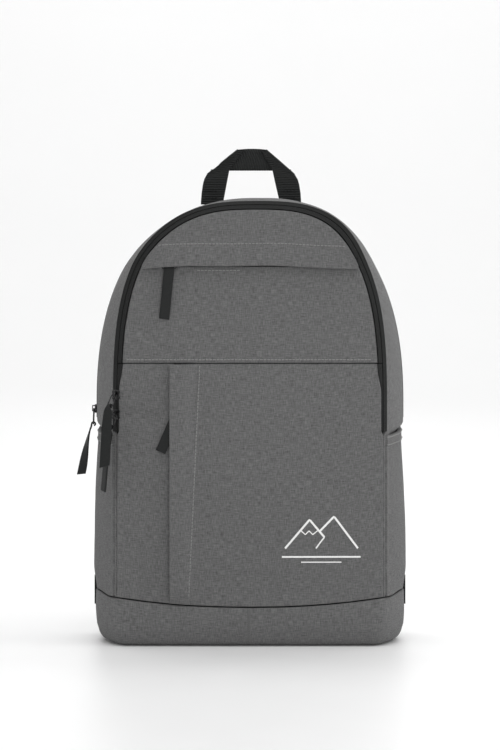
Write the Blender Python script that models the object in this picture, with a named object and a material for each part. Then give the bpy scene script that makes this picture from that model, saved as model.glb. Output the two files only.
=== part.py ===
"""Two-compartment daypack: zipped shell, fold-down front, zipped pockets, handle and shoulder straps.

The bag stands on its base at Z = 0 with its front facing -Y. All lengths are metres.
"""

import math

import bmesh
import bpy
from mathutils import Vector

# shell outline: straight sides up to SPRING_Z, then an arch over the top
SPRING_Z = 0.226
FRONT_Y = -0.060
WIDE_Y = 0.010
BACK_Y = 0.061
FRONT_HALF_WIDTH = 0.1255
WIDE_HALF_WIDTH = 0.1485
BACK_HALF_WIDTH = 0.1455
FRONT_TOP_Z = 0.4165
WIDE_TOP_Z = 0.4275
BACK_TOP_Z = 0.4265
FRONT_POWER = 2.85
WIDE_POWER = 2.4
SIDE_RECESS = 0.0090
RECESS_FADE = 0.012
RECESS_SHOULDER = 0.002
LEAN = 0.0070
LEAN_Z = (0.355, 0.430)
FRONT_CROWN = 0.0060
CROWN_Z = 0.170

# sheet thicknesses and the running gap between neighbouring pieces
CLOTH = 0.0020
THIN_CLOTH = 0.0015
TAPE = 0.0012
GAP = 0.0004
SEAM_GAP = 0.0009

# horizontal lines of the front
BASE_RIM_FRONT_Z = 0.037
BASE_RIM_SIDE_Z = 0.049
ZIP_END_Z = 0.2015
FOLD_Z = 0.267
SPLIT_REAR_Z = 0.284
REAR_ZIP_END_Z = 0.2145
TAPE_HALF = 0.0038
ZIP_SLOPE = 0.60
PANEL_INSET = TAPE_HALF + 0.0010
GUSSET_FRONT_Y = FRONT_Y + 0.0062
REAR_TAPE_Y = (0.0095, 0.0145)

# top pocket and side pocket on the front
FLAP_EDGE_Z = 0.3585
FLAP_LIFT = 0.0060
TOP_TAPE_TOP_Z = 0.3665
SIDE_FLAP_LEFT_X = -0.0757
SIDE_FLAP_RIGHT_X = -0.0490
SIDE_TAPE_X = (-0.0715, -0.0645)
SIDE_ZIP_BOTTOM_Z = 0.060

# slip pockets on the sides
HEM_FRONT_Z = 0.199
HEM_REAR_Z = 0.209
HEM_HEIGHT = 0.0105
POCKET_SWELL = 0.0026
HEM_TUCK = 0.0018
POCKET_Y = (-0.0480, 0.0560)

# zip pullers
LOOP_WIRE = 0.0006
RIBBON_WIDTH = 0.0098
RIBBON_THICKNESS = 0.0015
THIN_LOOP_WIRE = 0.00045
THIN_RIBBON_THICKNESS = 0.0009

# grab handle
HANDLE_Y = 0.046
HANDLE_THICKNESS = 0.0024
HANDLE_PIVOT_Z = 0.4275

# shoulder straps
PAD_WIDTH = 0.062
PAD_THICKNESS = 0.011
WEBBING_WIDTH = 0.0200
WEBBING_THICKNESS = 0.0014
LOCK_THICKNESS = 0.0030
STRAP_TOP = Vector((0.052, 0.0800, 0.410))
STRAP_LOW = Vector((0.1415, 0.0725, 0.040))

MATERIALS = {
    "pack_cloth": ((0.135, 0.135, 0.135), 0.85, 0.0),
    "side_cloth": ((0.165, 0.165, 0.165), 0.85, 0.0),
    "zip_tape": ((0.018, 0.021, 0.020), 0.75, 0.0),
    "webbing": ((0.015, 0.018, 0.017), 0.70, 0.0),
    "lining": ((0.060, 0.062, 0.064), 0.80, 0.0),
    "air_mesh": ((0.022, 0.023, 0.024), 0.90, 0.0),
    "slider_metal": ((0.050, 0.051, 0.053), 0.35, 1.0),
    "buckle_plastic": ((0.012, 0.012, 0.012), 0.45, 0.0),
    "base_foam": ((0.050, 0.050, 0.052), 0.90, 0.0),
}


# ---------------------------------------------------------------- scene helpers


def clear_scene():
    """Empty the startup scene."""
    for thing in list(bpy.data.objects):
        bpy.data.objects.remove(thing, do_unlink=True)


def material(name):
    """Return the named Principled material, made on first use."""
    found = bpy.data.materials.get(name)
    if found:
        return found
    colour, roughness, metallic = MATERIALS[name]
    made = bpy.data.materials.new(name)
    made.use_nodes = True
    shader = made.node_tree.nodes["Principled BSDF"]
    shader.inputs["Base Color"].default_value = (*colour, 1.0)
    shader.inputs["Roughness"].default_value = roughness
    shader.inputs["Metallic"].default_value = metallic
    return made


def add_solid(name, points, faces, slot, origin=Vector((0, 0, 0))):
    """Add one closed solid whose object origin sits at the given point."""
    mesh = bpy.data.meshes.new(name)
    mesh.from_pydata([tuple(Vector(p) - origin) for p in points], [], faces)
    work = bmesh.new()
    work.from_mesh(mesh)
    bmesh.ops.recalc_face_normals(work, faces=work.faces)
    work.to_mesh(mesh)
    work.free()
    mesh.materials.append(material(slot))
    thing = bpy.data.objects.new(name, mesh)
    thing.location = origin
    bpy.context.scene.collection.objects.link(thing)
    return thing


def grid_normal(grid, row, column):
    """Unit normal of a point grid at one point, from its neighbours."""
    rows = len(grid)
    columns = len(grid[0])
    down = grid[min(row + 1, rows - 1)][column] - grid[max(row - 1, 0)][column]
    along = grid[row][min(column + 1, columns - 1)] - grid[row][max(column - 1, 0)]
    return down.cross(along).normalized()


def lean(p):
    """The crown of the bag leans a little to the right."""
    low, high = LEAN_Z
    return p + Vector((LEAN * smooth((p.z - low) / (high - low)), 0, 0))


def sheet(name, grid, thickness, slot, inside):
    """Closed solid between a point grid and its copy moved towards the point `inside`."""
    grid = [[lean(p) for p in row] for row in grid]
    rows = len(grid)
    columns = len(grid[0])
    points = [p for row in grid for p in row]
    for r in range(rows):
        for c in range(columns):
            normal = grid_normal(grid, r, c)
            if normal.dot(inside - grid[r][c]) < 0:
                normal = -normal
            points.append(grid[r][c] + normal * thickness)
    count = rows * columns
    faces = []
    for r in range(rows - 1):
        for c in range(columns - 1):
            a = r * columns + c
            quad = (a, a + 1, a + columns + 1, a + columns)
            faces.append(quad)
            faces.append(tuple(i + count for i in reversed(quad)))
    rim = [c for c in range(columns)]
    rim += [r * columns + columns - 1 for r in range(1, rows)]
    rim += [(rows - 1) * columns + c for c in range(columns - 2, -1, -1)]
    rim += [r * columns for r in range(rows - 2, 0, -1)]
    for i, a in enumerate(rim):
        b = rim[(i + 1) % len(rim)]
        faces.append((b, a, a + count, b + count))
    return add_solid(name, points, faces, slot)


def band(name, path, across, width, thickness, slot, origin=Vector((0, 0, 0))):
    """Flat band swept along a path; `across` and `width` are one value or one per point."""
    count = len(path)
    sides = across if isinstance(across, list) else [across] * count
    widths = width if isinstance(width, list) else [width] * count
    points = []
    for i, p in enumerate(path):
        forward = (path[min(i + 1, count - 1)] - path[max(i - 1, 0)]).normalized()
        side = (sides[i] - forward * sides[i].dot(forward)).normalized()
        normal = forward.cross(side)
        for u, v in ((-1, -1), (1, -1), (1, 1), (-1, 1)):
            points.append(p + side * (u * widths[i] / 2) + normal * (v * thickness / 2))
    faces = [(0, 1, 2, 3), tuple(4 * (count - 1) + i for i in (3, 2, 1, 0))]
    for i in range(count - 1):
        for k in range(4):
            a = 4 * i + k
            b = 4 * i + (k + 1) % 4
            faces.append((a, a + 4, b + 4, b))
    return add_solid(name, points, faces, slot, origin)


def closed_wire(name, path, radius, sides, slot, origin):
    """Round wire swept along a closed path."""
    count = len(path)
    middle = sum(path, Vector()) / count
    points = []
    for i, p in enumerate(path):
        forward = (path[(i + 1) % count] - path[i - 1]).normalized()
        plane = (path[i] - middle).cross(forward).normalized()
        out = forward.cross(plane)
        for k in range(sides):
            turn = 2 * math.pi * k / sides
            points.append(p + plane * (radius * math.cos(turn)) + out * (radius * math.sin(turn)))
    faces = []
    for i in range(count):
        for k in range(sides):
            a = i * sides + k
            b = i * sides + (k + 1) % sides
            c = ((i + 1) % count) * sides
            faces.append((a, b, c + (k + 1) % sides, c + k))
    return add_solid(name, points, faces, slot, origin)


def plate(name, outline, depth, slot, frame, origin):
    """Extrude a flat outline both ways by half of `depth`; frame gives its two in-plane axes."""
    first, second = frame
    normal = first.cross(second).normalized() * (depth / 2)
    flat = [origin + first * a + second * b for a, b in outline]
    count = len(flat)
    points = [p - normal for p in flat] + [p + normal for p in flat]
    faces = [tuple(reversed(range(count))), tuple(range(count, 2 * count))]
    for i in range(count):
        k = (i + 1) % count
        faces.append((i, k, k + count, i + count))
    return add_solid(name, points, faces, slot, origin)


def cell_plate(name, across, along, filled, depth, slot, frame, origin):
    """Plate with square openings: a grid of cells, of which only the filled ones are solid."""
    first, second = frame
    normal = first.cross(second).normalized() * (depth / 2)
    used = {}
    points = []
    faces = []

    def corner(i, j, side):
        key = (i, j, side)
        if key not in used:
            used[key] = len(points)
            points.append(origin + first * across[i] + second * along[j] + normal * side)
        return used[key]

    for i in range(len(across) - 1):
        for j in range(len(along) - 1):
            if not filled(i, j):
                continue
            for side in (-1, 1):
                cell = ((i, j), (i + 1, j), (i + 1, j + 1), (i, j + 1))
                faces.append([corner(a, b, side) for a, b in cell])
            edges = (
                ((i, j - 1), (i, j), (i + 1, j)),
                ((i + 1, j), (i + 1, j), (i + 1, j + 1)),
                ((i, j + 1), (i + 1, j + 1), (i, j + 1)),
                ((i - 1, j), (i, j + 1), (i, j)),
            )
            for beside, a, b in edges:
                inside = 0 <= beside[0] < len(across) - 1 and 0 <= beside[1] < len(along) - 1
                if not (inside and filled(*beside)):
                    faces.append([corner(*a, -1), corner(*b, -1), corner(*b, 1), corner(*a, 1)])
    return add_solid(name, points, faces, slot, origin)


def fuse(keeper, tool):
    """Merge a second solid into the first with an exact union and remove the second."""
    step = keeper.modifiers.new("fuse", "BOOLEAN")
    step.operation = "UNION"
    step.solver = "EXACT"
    step.object = tool
    bpy.context.view_layer.update()
    graph = bpy.context.evaluated_depsgraph_get()
    merged = bpy.data.meshes.new_from_object(keeper.evaluated_get(graph))
    keeper.modifiers.clear()
    keeper.data = merged
    bpy.data.objects.remove(tool, do_unlink=True)


# ---------------------------------------------------------------- shell outline


def smooth(value):
    """Ease from 0 to 1 as the value goes from 0 to 1."""
    value = min(max(value, 0.0), 1.0)
    return value * value * (3 - 2 * value)


def depth_mix(y, front, wide, back):
    """Blend a dimension from the front edge through the widest line to the back edge."""
    if y <= WIDE_Y:
        t = (WIDE_Y - y) / (WIDE_Y - FRONT_Y)
        return wide + (front - wide) * t * t
    t = (y - WIDE_Y) / (BACK_Y - WIDE_Y)
    return wide + (back - wide) * t * t


def half_width(y):
    """Half width of the shell at a depth."""
    return depth_mix(y, FRONT_HALF_WIDTH, WIDE_HALF_WIDTH, BACK_HALF_WIDTH)


def top_height(y):
    """Height of the arch at a depth."""
    return depth_mix(y, FRONT_TOP_Z, WIDE_TOP_Z, BACK_TOP_Z)


def arch_power(y):
    """Squareness of the arch at a depth."""
    return depth_mix(y, FRONT_POWER, WIDE_POWER, WIDE_POWER)


def arch_half(z, half, top, power):
    """Half width of an arch at a height."""
    rise = min(max((z - SPRING_Z) / (top - SPRING_Z), 0.0), 1.0)
    return half * (1 - rise**power) ** (1 / power)


def arch_height(x, half, top, power):
    """Height of an arch at a distance from the middle."""
    reach = min(abs(x) / half, 1.0)
    return SPRING_Z + (top - SPRING_Z) * (1 - reach**power) ** (1 / power)


def pocket_share(y):
    """How far along a slip pocket a depth lies, from 0 at its front edge to 1 at its rear."""
    return min(max((y - POCKET_Y[0]) / (POCKET_Y[1] - POCKET_Y[0]), 0.0), 1.0)


def hem_top(y):
    """Height of the upper edge of the pocket hem."""
    return HEM_FRONT_Z + (HEM_REAR_Z - HEM_FRONT_Z) * pocket_share(y)


def recess(y, z):
    """How far the lower side walls stand in behind the slip pockets."""
    low = 1 - smooth((z - hem_top(y) + RECESS_SHOULDER) / RECESS_FADE)
    window = smooth((y - FRONT_Y) / 0.030) * smooth((BACK_Y - y) / 0.020)
    foot = smooth((z - BASE_RIM_SIDE_Z) / 0.030)
    return SIDE_RECESS * low * window * (0.25 + 0.75 * foot)


def side_x(y, z):
    """Half width of the side wall at a depth and height."""
    return arch_half(z, half_width(y), top_height(y), arch_power(y)) - recess(y, z)


def even_steps(line, count):
    """Points at even spacing along a polyline of 2-D points."""
    lengths = [0.0]
    for a, b in zip(line, line[1:]):
        lengths.append(lengths[-1] + math.dist(a, b))
    out = []
    k = 0
    for i in range(count):
        want = lengths[-1] * i / (count - 1)
        while k < len(line) - 2 and lengths[k + 1] < want:
            k += 1
        t = (want - lengths[k]) / max(lengths[k + 1] - lengths[k], 1e-12)
        a, b = line[k], line[k + 1]
        out.append((a[0] + (b[0] - a[0]) * t, a[1] + (b[1] - a[1]) * t))
    return out


def arch_line(y, start_z, count, shape=None):
    """Even points over the arch from the left side at start_z to the right side at start_z."""
    half, top, power = shape or (half_width(y), top_height(y), arch_power(y))
    right = []
    for i in range(41):
        z = start_z + (SPRING_Z - start_z) * i / 40
        if start_z < SPRING_Z:
            right.append((half - (0 if shape else recess(y, z)), z))
    for i in range(161):
        turn = math.pi / 2 * i / 160
        x = half * math.cos(turn) ** (2 / power) if i < 160 else 0.0
        z = SPRING_Z + (top - SPRING_Z) * math.sin(turn) ** (2 / power)
        if z > start_z:
            right.append((x - (0 if shape else recess(y, z)), z))
    if start_z >= SPRING_Z:
        right.insert(0, (arch_half(start_z, half, top, power), start_z))
    left = [(-x, z) for x, z in right]
    return even_steps(left + right[-2::-1], count)


def front_y(x, z):
    """Depth of the gently crowned front face."""
    reach = 0.170 if z > CROWN_Z else 0.200
    crown = 0.12 + 0.88 * math.cos(math.pi / 2 * min(abs(z - CROWN_Z) / reach, 1.0)) ** 2
    across = 1 - min(abs(x) / FRONT_HALF_WIDTH, 1.0) ** 2
    return FRONT_Y - FRONT_CROWN * crown * across


def base_rim(x, y):
    """Height of the seam where the base tray meets the walls."""
    corner_z = BASE_RIM_FRONT_Z + 0.009 * min(abs(x) / FRONT_HALF_WIDTH, 1.0) ** 2.2
    rise = smooth((y - FRONT_Y - 0.008) / 0.034)
    return corner_z + (BASE_RIM_SIDE_Z - corner_z) * rise


def split_z(y):
    """Height of the line where the fold-down half leaves the standing half."""
    t = (y - FRONT_Y) / (WIDE_Y - FRONT_Y)
    return FOLD_Z + (SPLIT_REAR_Z - FOLD_Z) * min(max(t, 0.0), 1.0)


# ---------------------------------------------------------------- shell pieces

CENTRE = Vector((0.0, 0.010, 0.210))
BEHIND = Vector((0.0, 1000.0, 0.0))


def front_grid(left, right, heights, columns, lift=0.0):
    """Grid over the front face between two x functions at the given heights."""
    grid = []
    for height in heights:
        row = []
        for c in range(columns):
            t = c / (columns - 1)
            z = height(t) if callable(height) else height
            x = left(z) + (right(z) - left(z)) * t
            row.append(Vector((x, front_y(x, z) - (lift(x, z) if callable(lift) else lift), z)))
        grid.append(row)
    return grid


def panel_edge(z):
    """Half width of the front panel: out to the corner seam below the zip, inside it above."""
    inner = arch_half(z, FRONT_HALF_WIDTH - PANEL_INSET, FRONT_TOP_Z - PANEL_INSET, FRONT_POWER)
    blend = smooth((z - ZIP_END_Z + 0.003) / 0.003)
    return FRONT_HALF_WIDTH - 0.0002 + (inner - FRONT_HALF_WIDTH + 0.0002) * blend


def lower_heights(left_x, right_x):
    """Row heights of the standing front pieces, from the base seam to the fold."""
    rows = []
    for t in (0.0, 0.12, 0.28, 0.46, 0.64, 0.82, 1.0):
        def height(u, t=t):
            x = left_x + (right_x - left_x) * u
            low = base_rim(x, FRONT_Y) + SEAM_GAP
            return low + (ZIP_END_Z - 0.003 - low) * t
        rows.append(height)
    return rows + [ZIP_END_Z, 0.215, 0.232, 0.250, FOLD_Z - GAP]


def build_front_lower():
    """Standing part of the front: main panel, side strip, pocket zip and its cover flap."""
    main_left = SIDE_TAPE_X[1] + GAP
    strip_right = SIDE_TAPE_X[0] - GAP
    grid = front_grid(lambda z: main_left, panel_edge, lower_heights(main_left, FRONT_HALF_WIDTH), 15)
    sheet("front_panel_lower", grid, CLOTH, "pack_cloth", BEHIND)
    grid = front_grid(lambda z: -panel_edge(z), lambda z: strip_right,
                      lower_heights(-FRONT_HALF_WIDTH, strip_right), 6)
    sheet("front_panel_side", grid, CLOTH, "pack_cloth", BEHIND)
    rows = [base_rim(SIDE_TAPE_X[0], FRONT_Y) + SEAM_GAP]
    rows += [SIDE_ZIP_BOTTOM_Z + (FOLD_Z - GAP - SIDE_ZIP_BOTTOM_Z) * i / 8 for i in range(9)]
    grid = front_grid(lambda z: SIDE_TAPE_X[0], lambda z: SIDE_TAPE_X[1], rows, 3)
    sheet("side_pocket_zip", grid, TAPE, "zip_tape", BEHIND)

    def lift(x, z):
        t = (SIDE_FLAP_RIGHT_X - x) / (SIDE_FLAP_RIGHT_X - SIDE_FLAP_LEFT_X)
        return THIN_CLOTH + GAP + (FLAP_LIFT - THIN_CLOTH - GAP) * smooth(t * 1.9)

    low = base_rim(SIDE_FLAP_LEFT_X, FRONT_Y) + SEAM_GAP
    rows = [low + (FOLD_Z - 0.0025 - low) * i / 9 for i in range(10)]
    grid = front_grid(lambda z: SIDE_FLAP_LEFT_X, lambda z: SIDE_FLAP_RIGHT_X, rows, 8, lift)
    sheet("side_pocket_flap", grid, THIN_CLOTH, "pack_cloth", BEHIND)


def build_front_upper():
    """Fold-down part of the front: pocket panel, pocket zip and the cap that covers it."""
    rows = [FOLD_Z + GAP + (FLAP_EDGE_Z - 0.0006 - FOLD_Z - GAP) * i / 7 for i in range(8)]
    grid = front_grid(lambda z: -panel_edge(z), panel_edge, rows, 19)
    sheet("front_panel_upper", grid, CLOTH, "pack_cloth", BEHIND)
    rows = [FLAP_EDGE_Z, (FLAP_EDGE_Z + TOP_TAPE_TOP_Z) / 2, TOP_TAPE_TOP_Z]
    grid = front_grid(lambda z: -panel_edge(z), panel_edge, rows, 15)
    sheet("top_pocket_zip", grid, TAPE, "zip_tape", BEHIND)
    half = FRONT_HALF_WIDTH - PANEL_INSET
    top = FRONT_TOP_Z - PANEL_INSET
    reach = arch_half(FLAP_EDGE_Z, half, top, FRONT_POWER) - 0.0004
    grid = []
    for r in range(9):
        row = []
        for c in range(25):
            x = reach * math.sin(math.pi * (c / 24 - 0.5))
            low = FLAP_EDGE_Z - 0.0035 * ((x + 0.010) / 0.110) ** 2
            high = arch_height(x, half, top, FRONT_POWER)
            z = low + (high - low) * (r / 8) ** 1.4
            lift = (FLAP_LIFT - 0.0002) * (1 - smooth((z - TOP_TAPE_TOP_Z - 0.001) / 0.022))
            row.append(Vector((x, front_y(x, z) - lift, z)))
        grid.append(row)
    sheet("top_pocket_flap", grid, THIN_CLOTH, "pack_cloth", BEHIND)


def tape_strip(name, inner, outer, start_z, end_z, count, side=None):
    """Zip tape between two offsets from the front zip line, over the arch or on one side."""
    grid = []
    for offset in (inner, (inner + outer) / 2, outer):
        half = FRONT_HALF_WIDTH + offset
        top = FRONT_TOP_Z + offset
        y = FRONT_Y + (offset + TAPE_HALF) * ZIP_SLOPE
        if side:
            row = []
            for i in range(count):
                z = start_z + (end_z - start_z) * i / (count - 1)
                row.append(Vector((side * arch_half(z, half, top, FRONT_POWER), y, z)))
        else:
            row = [Vector((x, y, z)) for x, z in arch_line(0, start_z, count, (half, top, FRONT_POWER))]
        grid.append(row)
    return sheet(name, grid, TAPE, "zip_tape", CENTRE)


def build_front_zip():
    """The main zip: two tapes over the arch and a short closed length on each side."""
    tape_strip("front_zip_flap_tape", -TAPE_HALF, -GAP / 2, FOLD_Z + GAP, None, 45)
    tape_strip("front_zip_gusset_tape", GAP / 2, TAPE_HALF, FOLD_Z + GAP, None, 45)
    for label, side in (("left", -1), ("right", 1)):
        tape_strip(f"front_zip_end_{label}", -TAPE_HALF, TAPE_HALF, ZIP_END_Z + GAP,
                   FOLD_Z - GAP, 6, side)


def strip_over_arch(name, depths, start, thickness, slot, count=49):
    """Wall strip over the arch between two depths, starting at start(y) on both sides."""
    grid = [[Vector((x, y, z)) for x, z in arch_line(y, start(y), count)] for y in depths]
    return sheet(name, grid, thickness, slot, CENTRE)


def build_gussets():
    """Fold-down front gusset and standing rear gusset with the rear zip between them."""
    deep = REAR_TAPE_Y[0] - GAP - GUSSET_FRONT_Y
    depths = [GUSSET_FRONT_Y + deep * t for t in (0, 0.12, 0.3, 0.6, 1)]
    strip_over_arch("front_gusset", depths, lambda y: split_z(y) + GAP, CLOTH, "side_cloth")
    deep = BACK_Y - REAR_TAPE_Y[1] - GAP
    depths = [REAR_TAPE_Y[1] + GAP + deep * t for t in (0, 0.35, 0.7, 1)]
    strip_over_arch("rear_gusset", depths, lambda y: base_rim(WIDE_HALF_WIDTH, y) + SEAM_GAP,
                    CLOTH, "side_cloth", 121)
    middle = sum(REAR_TAPE_Y) / 2
    front_depths = (REAR_TAPE_Y[0], middle - GAP / 2)
    rear_depths = (middle + GAP / 2, REAR_TAPE_Y[1])
    strip_over_arch("rear_zip_front_tape", front_depths, lambda y: SPLIT_REAR_Z + GAP, TAPE, "zip_tape")
    strip_over_arch("rear_zip_back_tape", rear_depths, lambda y: SPLIT_REAR_Z + GAP, TAPE, "zip_tape")
    for label, side in (("left", -1), ("right", 1)):
        grid = []
        for y in (REAR_TAPE_Y[0], middle, REAR_TAPE_Y[1]):
            row = []
            for i in range(7):
                z = REAR_ZIP_END_Z + (SPLIT_REAR_Z - GAP - REAR_ZIP_END_Z) * i / 6
                row.append(Vector((side * side_x(y, z), y, z)))
            grid.append(row)
        sheet(f"rear_zip_end_{label}", grid, TAPE, "zip_tape", CENTRE)


def build_side_panels():
    """Lower side walls, each with a slip pocket and its elastic hem."""
    for label, side in (("left", -1), ("right", 1)):
        grid = []
        rear = REAR_TAPE_Y[0] - GAP
        for t in (0, 0.08, 0.2, 0.4, 0.6, 0.8, 1):
            row = []
            y = FRONT_Y + CLOTH + GAP
            y += (rear - y) * t
            low = base_rim(WIDE_HALF_WIDTH, y) + SEAM_GAP
            for share in (0, 0.14, 0.28, 0.42, 0.56, 0.70, 0.84, 0.93, 1):
                z = low + (ZIP_END_Z - 0.003 - low) * share
                row.append(Vector((side * side_x(y, z), y, z)))
            y = GUSSET_FRONT_Y + (rear - GUSSET_FRONT_Y) * t
            for z in (ZIP_END_Z - 0.0005, 0.208, 0.215, 0.232, 0.250, split_z(y) - GAP):
                row.append(Vector((side * side_x(y, z), y, z)))
            grid.append(row)
        sheet(f"side_panel_{label}", grid, CLOTH, "side_cloth", CENTRE)
        build_slip_pocket(label, side)


def pocket_x(y, z):
    """Outer half width of a slip pocket, full low down and drawn in at its hem."""
    t = min(max((z - BASE_RIM_SIDE_Z) / (HEM_FRONT_Z - BASE_RIM_SIDE_Z), 0.0), 1.0)
    swell = (POCKET_SWELL - (POCKET_SWELL + HEM_TUCK) * t**2.5) * smooth(t * 6)
    belly = math.sin(math.pi * pocket_share(y)) ** 0.5
    return max(side_x(y, z) + CLOTH + GAP, half_width(y) + swell * belly)


def build_slip_pocket(label, side):
    """Slip pocket panel and the hem that closes its mouth."""
    grid = []
    hem = []
    for i in range(11):
        y = POCKET_Y[0] + (POCKET_Y[1] - POCKET_Y[0]) * i / 10
        low = base_rim(WIDE_HALF_WIDTH, y) + SEAM_GAP + 0.0006
        high = hem_top(y) - HEM_HEIGHT
        heights = [low + (high - GAP - low) * t for t in (0, 0.06, 0.14, 0.3, 0.5, 0.7, 0.88, 1)]
        grid.append([Vector((side * pocket_x(y, z), y, z)) for z in heights])
        heights = [high + HEM_HEIGHT * t for t in (0, 0.5, 1)]
        hem.append([Vector((side * (pocket_x(y, z) + 0.0003), y, z)) for z in heights])
    sheet(f"side_pocket_{label}", grid, THIN_CLOTH, "pack_cloth", CENTRE)
    sheet(f"pocket_hem_{label}", hem, CLOTH, "pack_cloth", CENTRE)


def plan_loop(inset, count):
    """Closed outline of the shell in plan, moved inwards by `inset`."""
    half = []
    for i in range(13):
        half.append((FRONT_HALF_WIDTH * i / 12 * 0.985, front_y(FRONT_HALF_WIDTH * i / 12, 0.02)))
    for i in range(1, 25):
        y = FRONT_Y + 0.0025 + (BACK_Y - 0.006 - FRONT_Y - 0.0025) * i / 24
        half.append((half_width(y), y))
    half.append((BACK_HALF_WIDTH - 0.0015, BACK_Y + 0.0005))
    half.append((BACK_HALF_WIDTH - 0.0060, BACK_Y + 0.0035))
    half.append((0.0, BACK_Y + 0.0040))
    left = [(-x, y) for x, y in half[-2:0:-1]]
    ring = even_steps(half + left + half[:1], count + 1)[:-1]
    out = []
    for i, (x, y) in enumerate(ring):
        before = ring[i - 1]
        after = ring[(i + 1) % count]
        dx, dy = after[0] - before[0], after[1] - before[1]
        size = math.hypot(dx, dy)
        out.append((x - dy / size * inset, y + dx / size * inset))
    return out


def build_base():
    """Base tray with a flat underside, and the stiffening board inside it."""
    count = 64
    steps = ((0.0150, 0.0), (0.0085, 0.0015), (0.0035, 0.0055), (0.0008, 0.0125), (-0.0006, 0.0230))
    rings = []
    for inset, z in steps:
        rings.append([Vector((x, y, z)) for x, y in plan_loop(inset, count)])
    rings.append([Vector((x, y, base_rim(x, y))) for x, y in plan_loop(-0.0004, count)])
    rings.append([Vector((x, y, base_rim(x, y))) for x, y in plan_loop(0.0020, count)])
    for inset, z in reversed(steps[1:]):
        ring = plan_loop(inset + 0.0024, count)
        rings.append([Vector((x, y, max(z, 0.0024 + z * 0.9))) for x, y in ring])
    points = [p for ring in rings for p in ring]
    faces = [tuple(range(count))]
    for r in range(len(rings) - 1):
        for i in range(count):
            k = (i + 1) % count
            faces.append((r * count + i, r * count + k, (r + 1) * count + k, (r + 1) * count + i))
    last = (len(rings) - 1) * count
    level = min(p.z for p in rings[-1])
    for i in range(count):
        points[last + i].z = level
    faces.append(tuple(last + i for i in range(count)))
    add_solid("base_panel", points, faces, "pack_cloth")
    plate("base_board", plan_loop(0.0170, 40), 0.003, "base_foam", (Vector((1, 0, 0)), Vector((0, 1, 0))),
          Vector((0, 0, 0.0062)))


def arch_slab(name, y, thickness, inset, low, slot, power=WIDE_POWER, rows=12, columns=17, dome=0.0):
    """Slab with an arched outline, standing at one depth."""
    half = BACK_HALF_WIDTH - inset
    top = BACK_TOP_Z - inset
    grid = []
    for r in range(rows):
        t = r / (rows - 1)
        row = []
        for c in range(columns):
            x = half * math.sin(math.pi / 2 * (2 * c / (columns - 1) - 1)) * 0.9985
            z = low + (arch_height(x, half, top, power) - low) * t
            swell = dome * (1 - (abs(x) / half) ** 4) * math.sin(math.pi * t) ** 0.5
            row.append(Vector((x, y + swell, z)))
        grid.append(row)
    ahead = Vector((0, -1000, 0))
    return sheet(name, grid, thickness, slot, ahead)


def build_back():
    """Back wall, padded back panel and the divider between the two compartments."""
    low = BASE_RIM_SIDE_Z + SEAM_GAP
    arch_slab("back_panel", BACK_Y + 0.0041, 0.0030, 0.0, low, "pack_cloth")
    arch_slab("back_pad", BACK_Y + 0.0105, 0.0060, 0.021, 0.062, "air_mesh", dome=0.0012)
    divider_y = WIDE_Y - 0.006
    half = WIDE_HALF_WIDTH - 0.0120
    heights = (0.0095, 0.052, 0.110, 0.170, 0.225, SPLIT_REAR_Z - 0.0012)
    grid = []
    for z in heights:
        wide = arch_half(z, half, WIDE_TOP_Z - 0.006, WIDE_POWER) - (0.010 if z < 0.03 else 0.0)
        grid.append([Vector((wide * (c / 4 - 1), divider_y, z)) for c in range(9)])
    sheet("divider_lower", grid, THIN_CLOTH, "lining", BEHIND)
    grid = []
    for r in range(8):
        row = []
        for c in range(17):
            x = half * math.sin(math.pi / 2 * (c / 8 - 1)) * 0.945
            high = arch_height(x, half, WIDE_TOP_Z - 0.0050, WIDE_POWER)
            row.append(Vector((x, divider_y, SPLIT_REAR_Z + (high - SPLIT_REAR_Z) * r / 7)))
        grid.append(row)
    sheet("divider_upper", grid, THIN_CLOTH, "lining", BEHIND)


# ---------------------------------------------------------------- zip hardware


def build_slider(name, centre, facing, size=1.0, thin=False, level=False):
    """Zip slider: a plate with a hook bridge that carries the puller's wire loop."""
    up = Vector((0, 0, 1))
    out = facing.normalized()
    across = up.cross(out).normalized()
    body = 0.0009 if thin else 0.0018
    slot = 0.0016 if thin else 0.0019
    arm = 0.0005 if thin else 0.0008
    base = centre + out * (GAP + body / 2)
    wide, tall = 0.0080 * size, 0.0092 * size
    right = [(wide / 2 - 0.0012, -tall / 2), (wide / 2, -tall / 2 + 0.0012), (wide / 2 - 0.0009, 0),
             (wide / 2, tall / 2 - 0.0015), (wide / 2 - 0.0015, tall / 2)]
    shape = right + [(-x, z) for x, z in reversed(right)]
    frame = (up, -across) if level else (across, up)
    slider = plate(name, shape, body, "slider_metal", frame, base)
    low = -body * 0.25
    roof = body / 2 + slot + arm
    hook = [(0.0034, low), (0.0034, roof - 0.0004), (0.0028, roof), (-0.0024, roof), (-0.0028, roof - 0.0004),
            (-0.0028, body / 2 + 0.0003), (-0.0020, body / 2 + 0.0003), (-0.0020, roof - arm),
            (0.0022, roof - arm), (0.0022, low)]
    bridge = plate(name + "_hook", hook, 0.0026, "slider_metal", (up, out), base)
    fuse(slider, bridge)
    return base + out * (body / 2 + slot / 2)


def build_loop(name, hook, across, down, loop, wire):
    """Wire loop with rounded corners, hanging from a slider's hook."""
    wide, long = loop
    corner = 0.0016
    path = []
    for side, low, start in ((1, 1, 0), (-1, 1, 90), (-1, 0, 180), (1, 0, 270)):
        middle = across * (side * (wide / 2 - corner)) + down * (long - corner if low else corner)
        for k in range(4):
            turn = math.radians(start + 30 * k)
            path.append(hook + middle + across * (corner * math.cos(turn)) + down * (corner * math.sin(turn)))
    closed_wire(f"{name}_loop", path, wire, 6, "slider_metal", hook)


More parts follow.
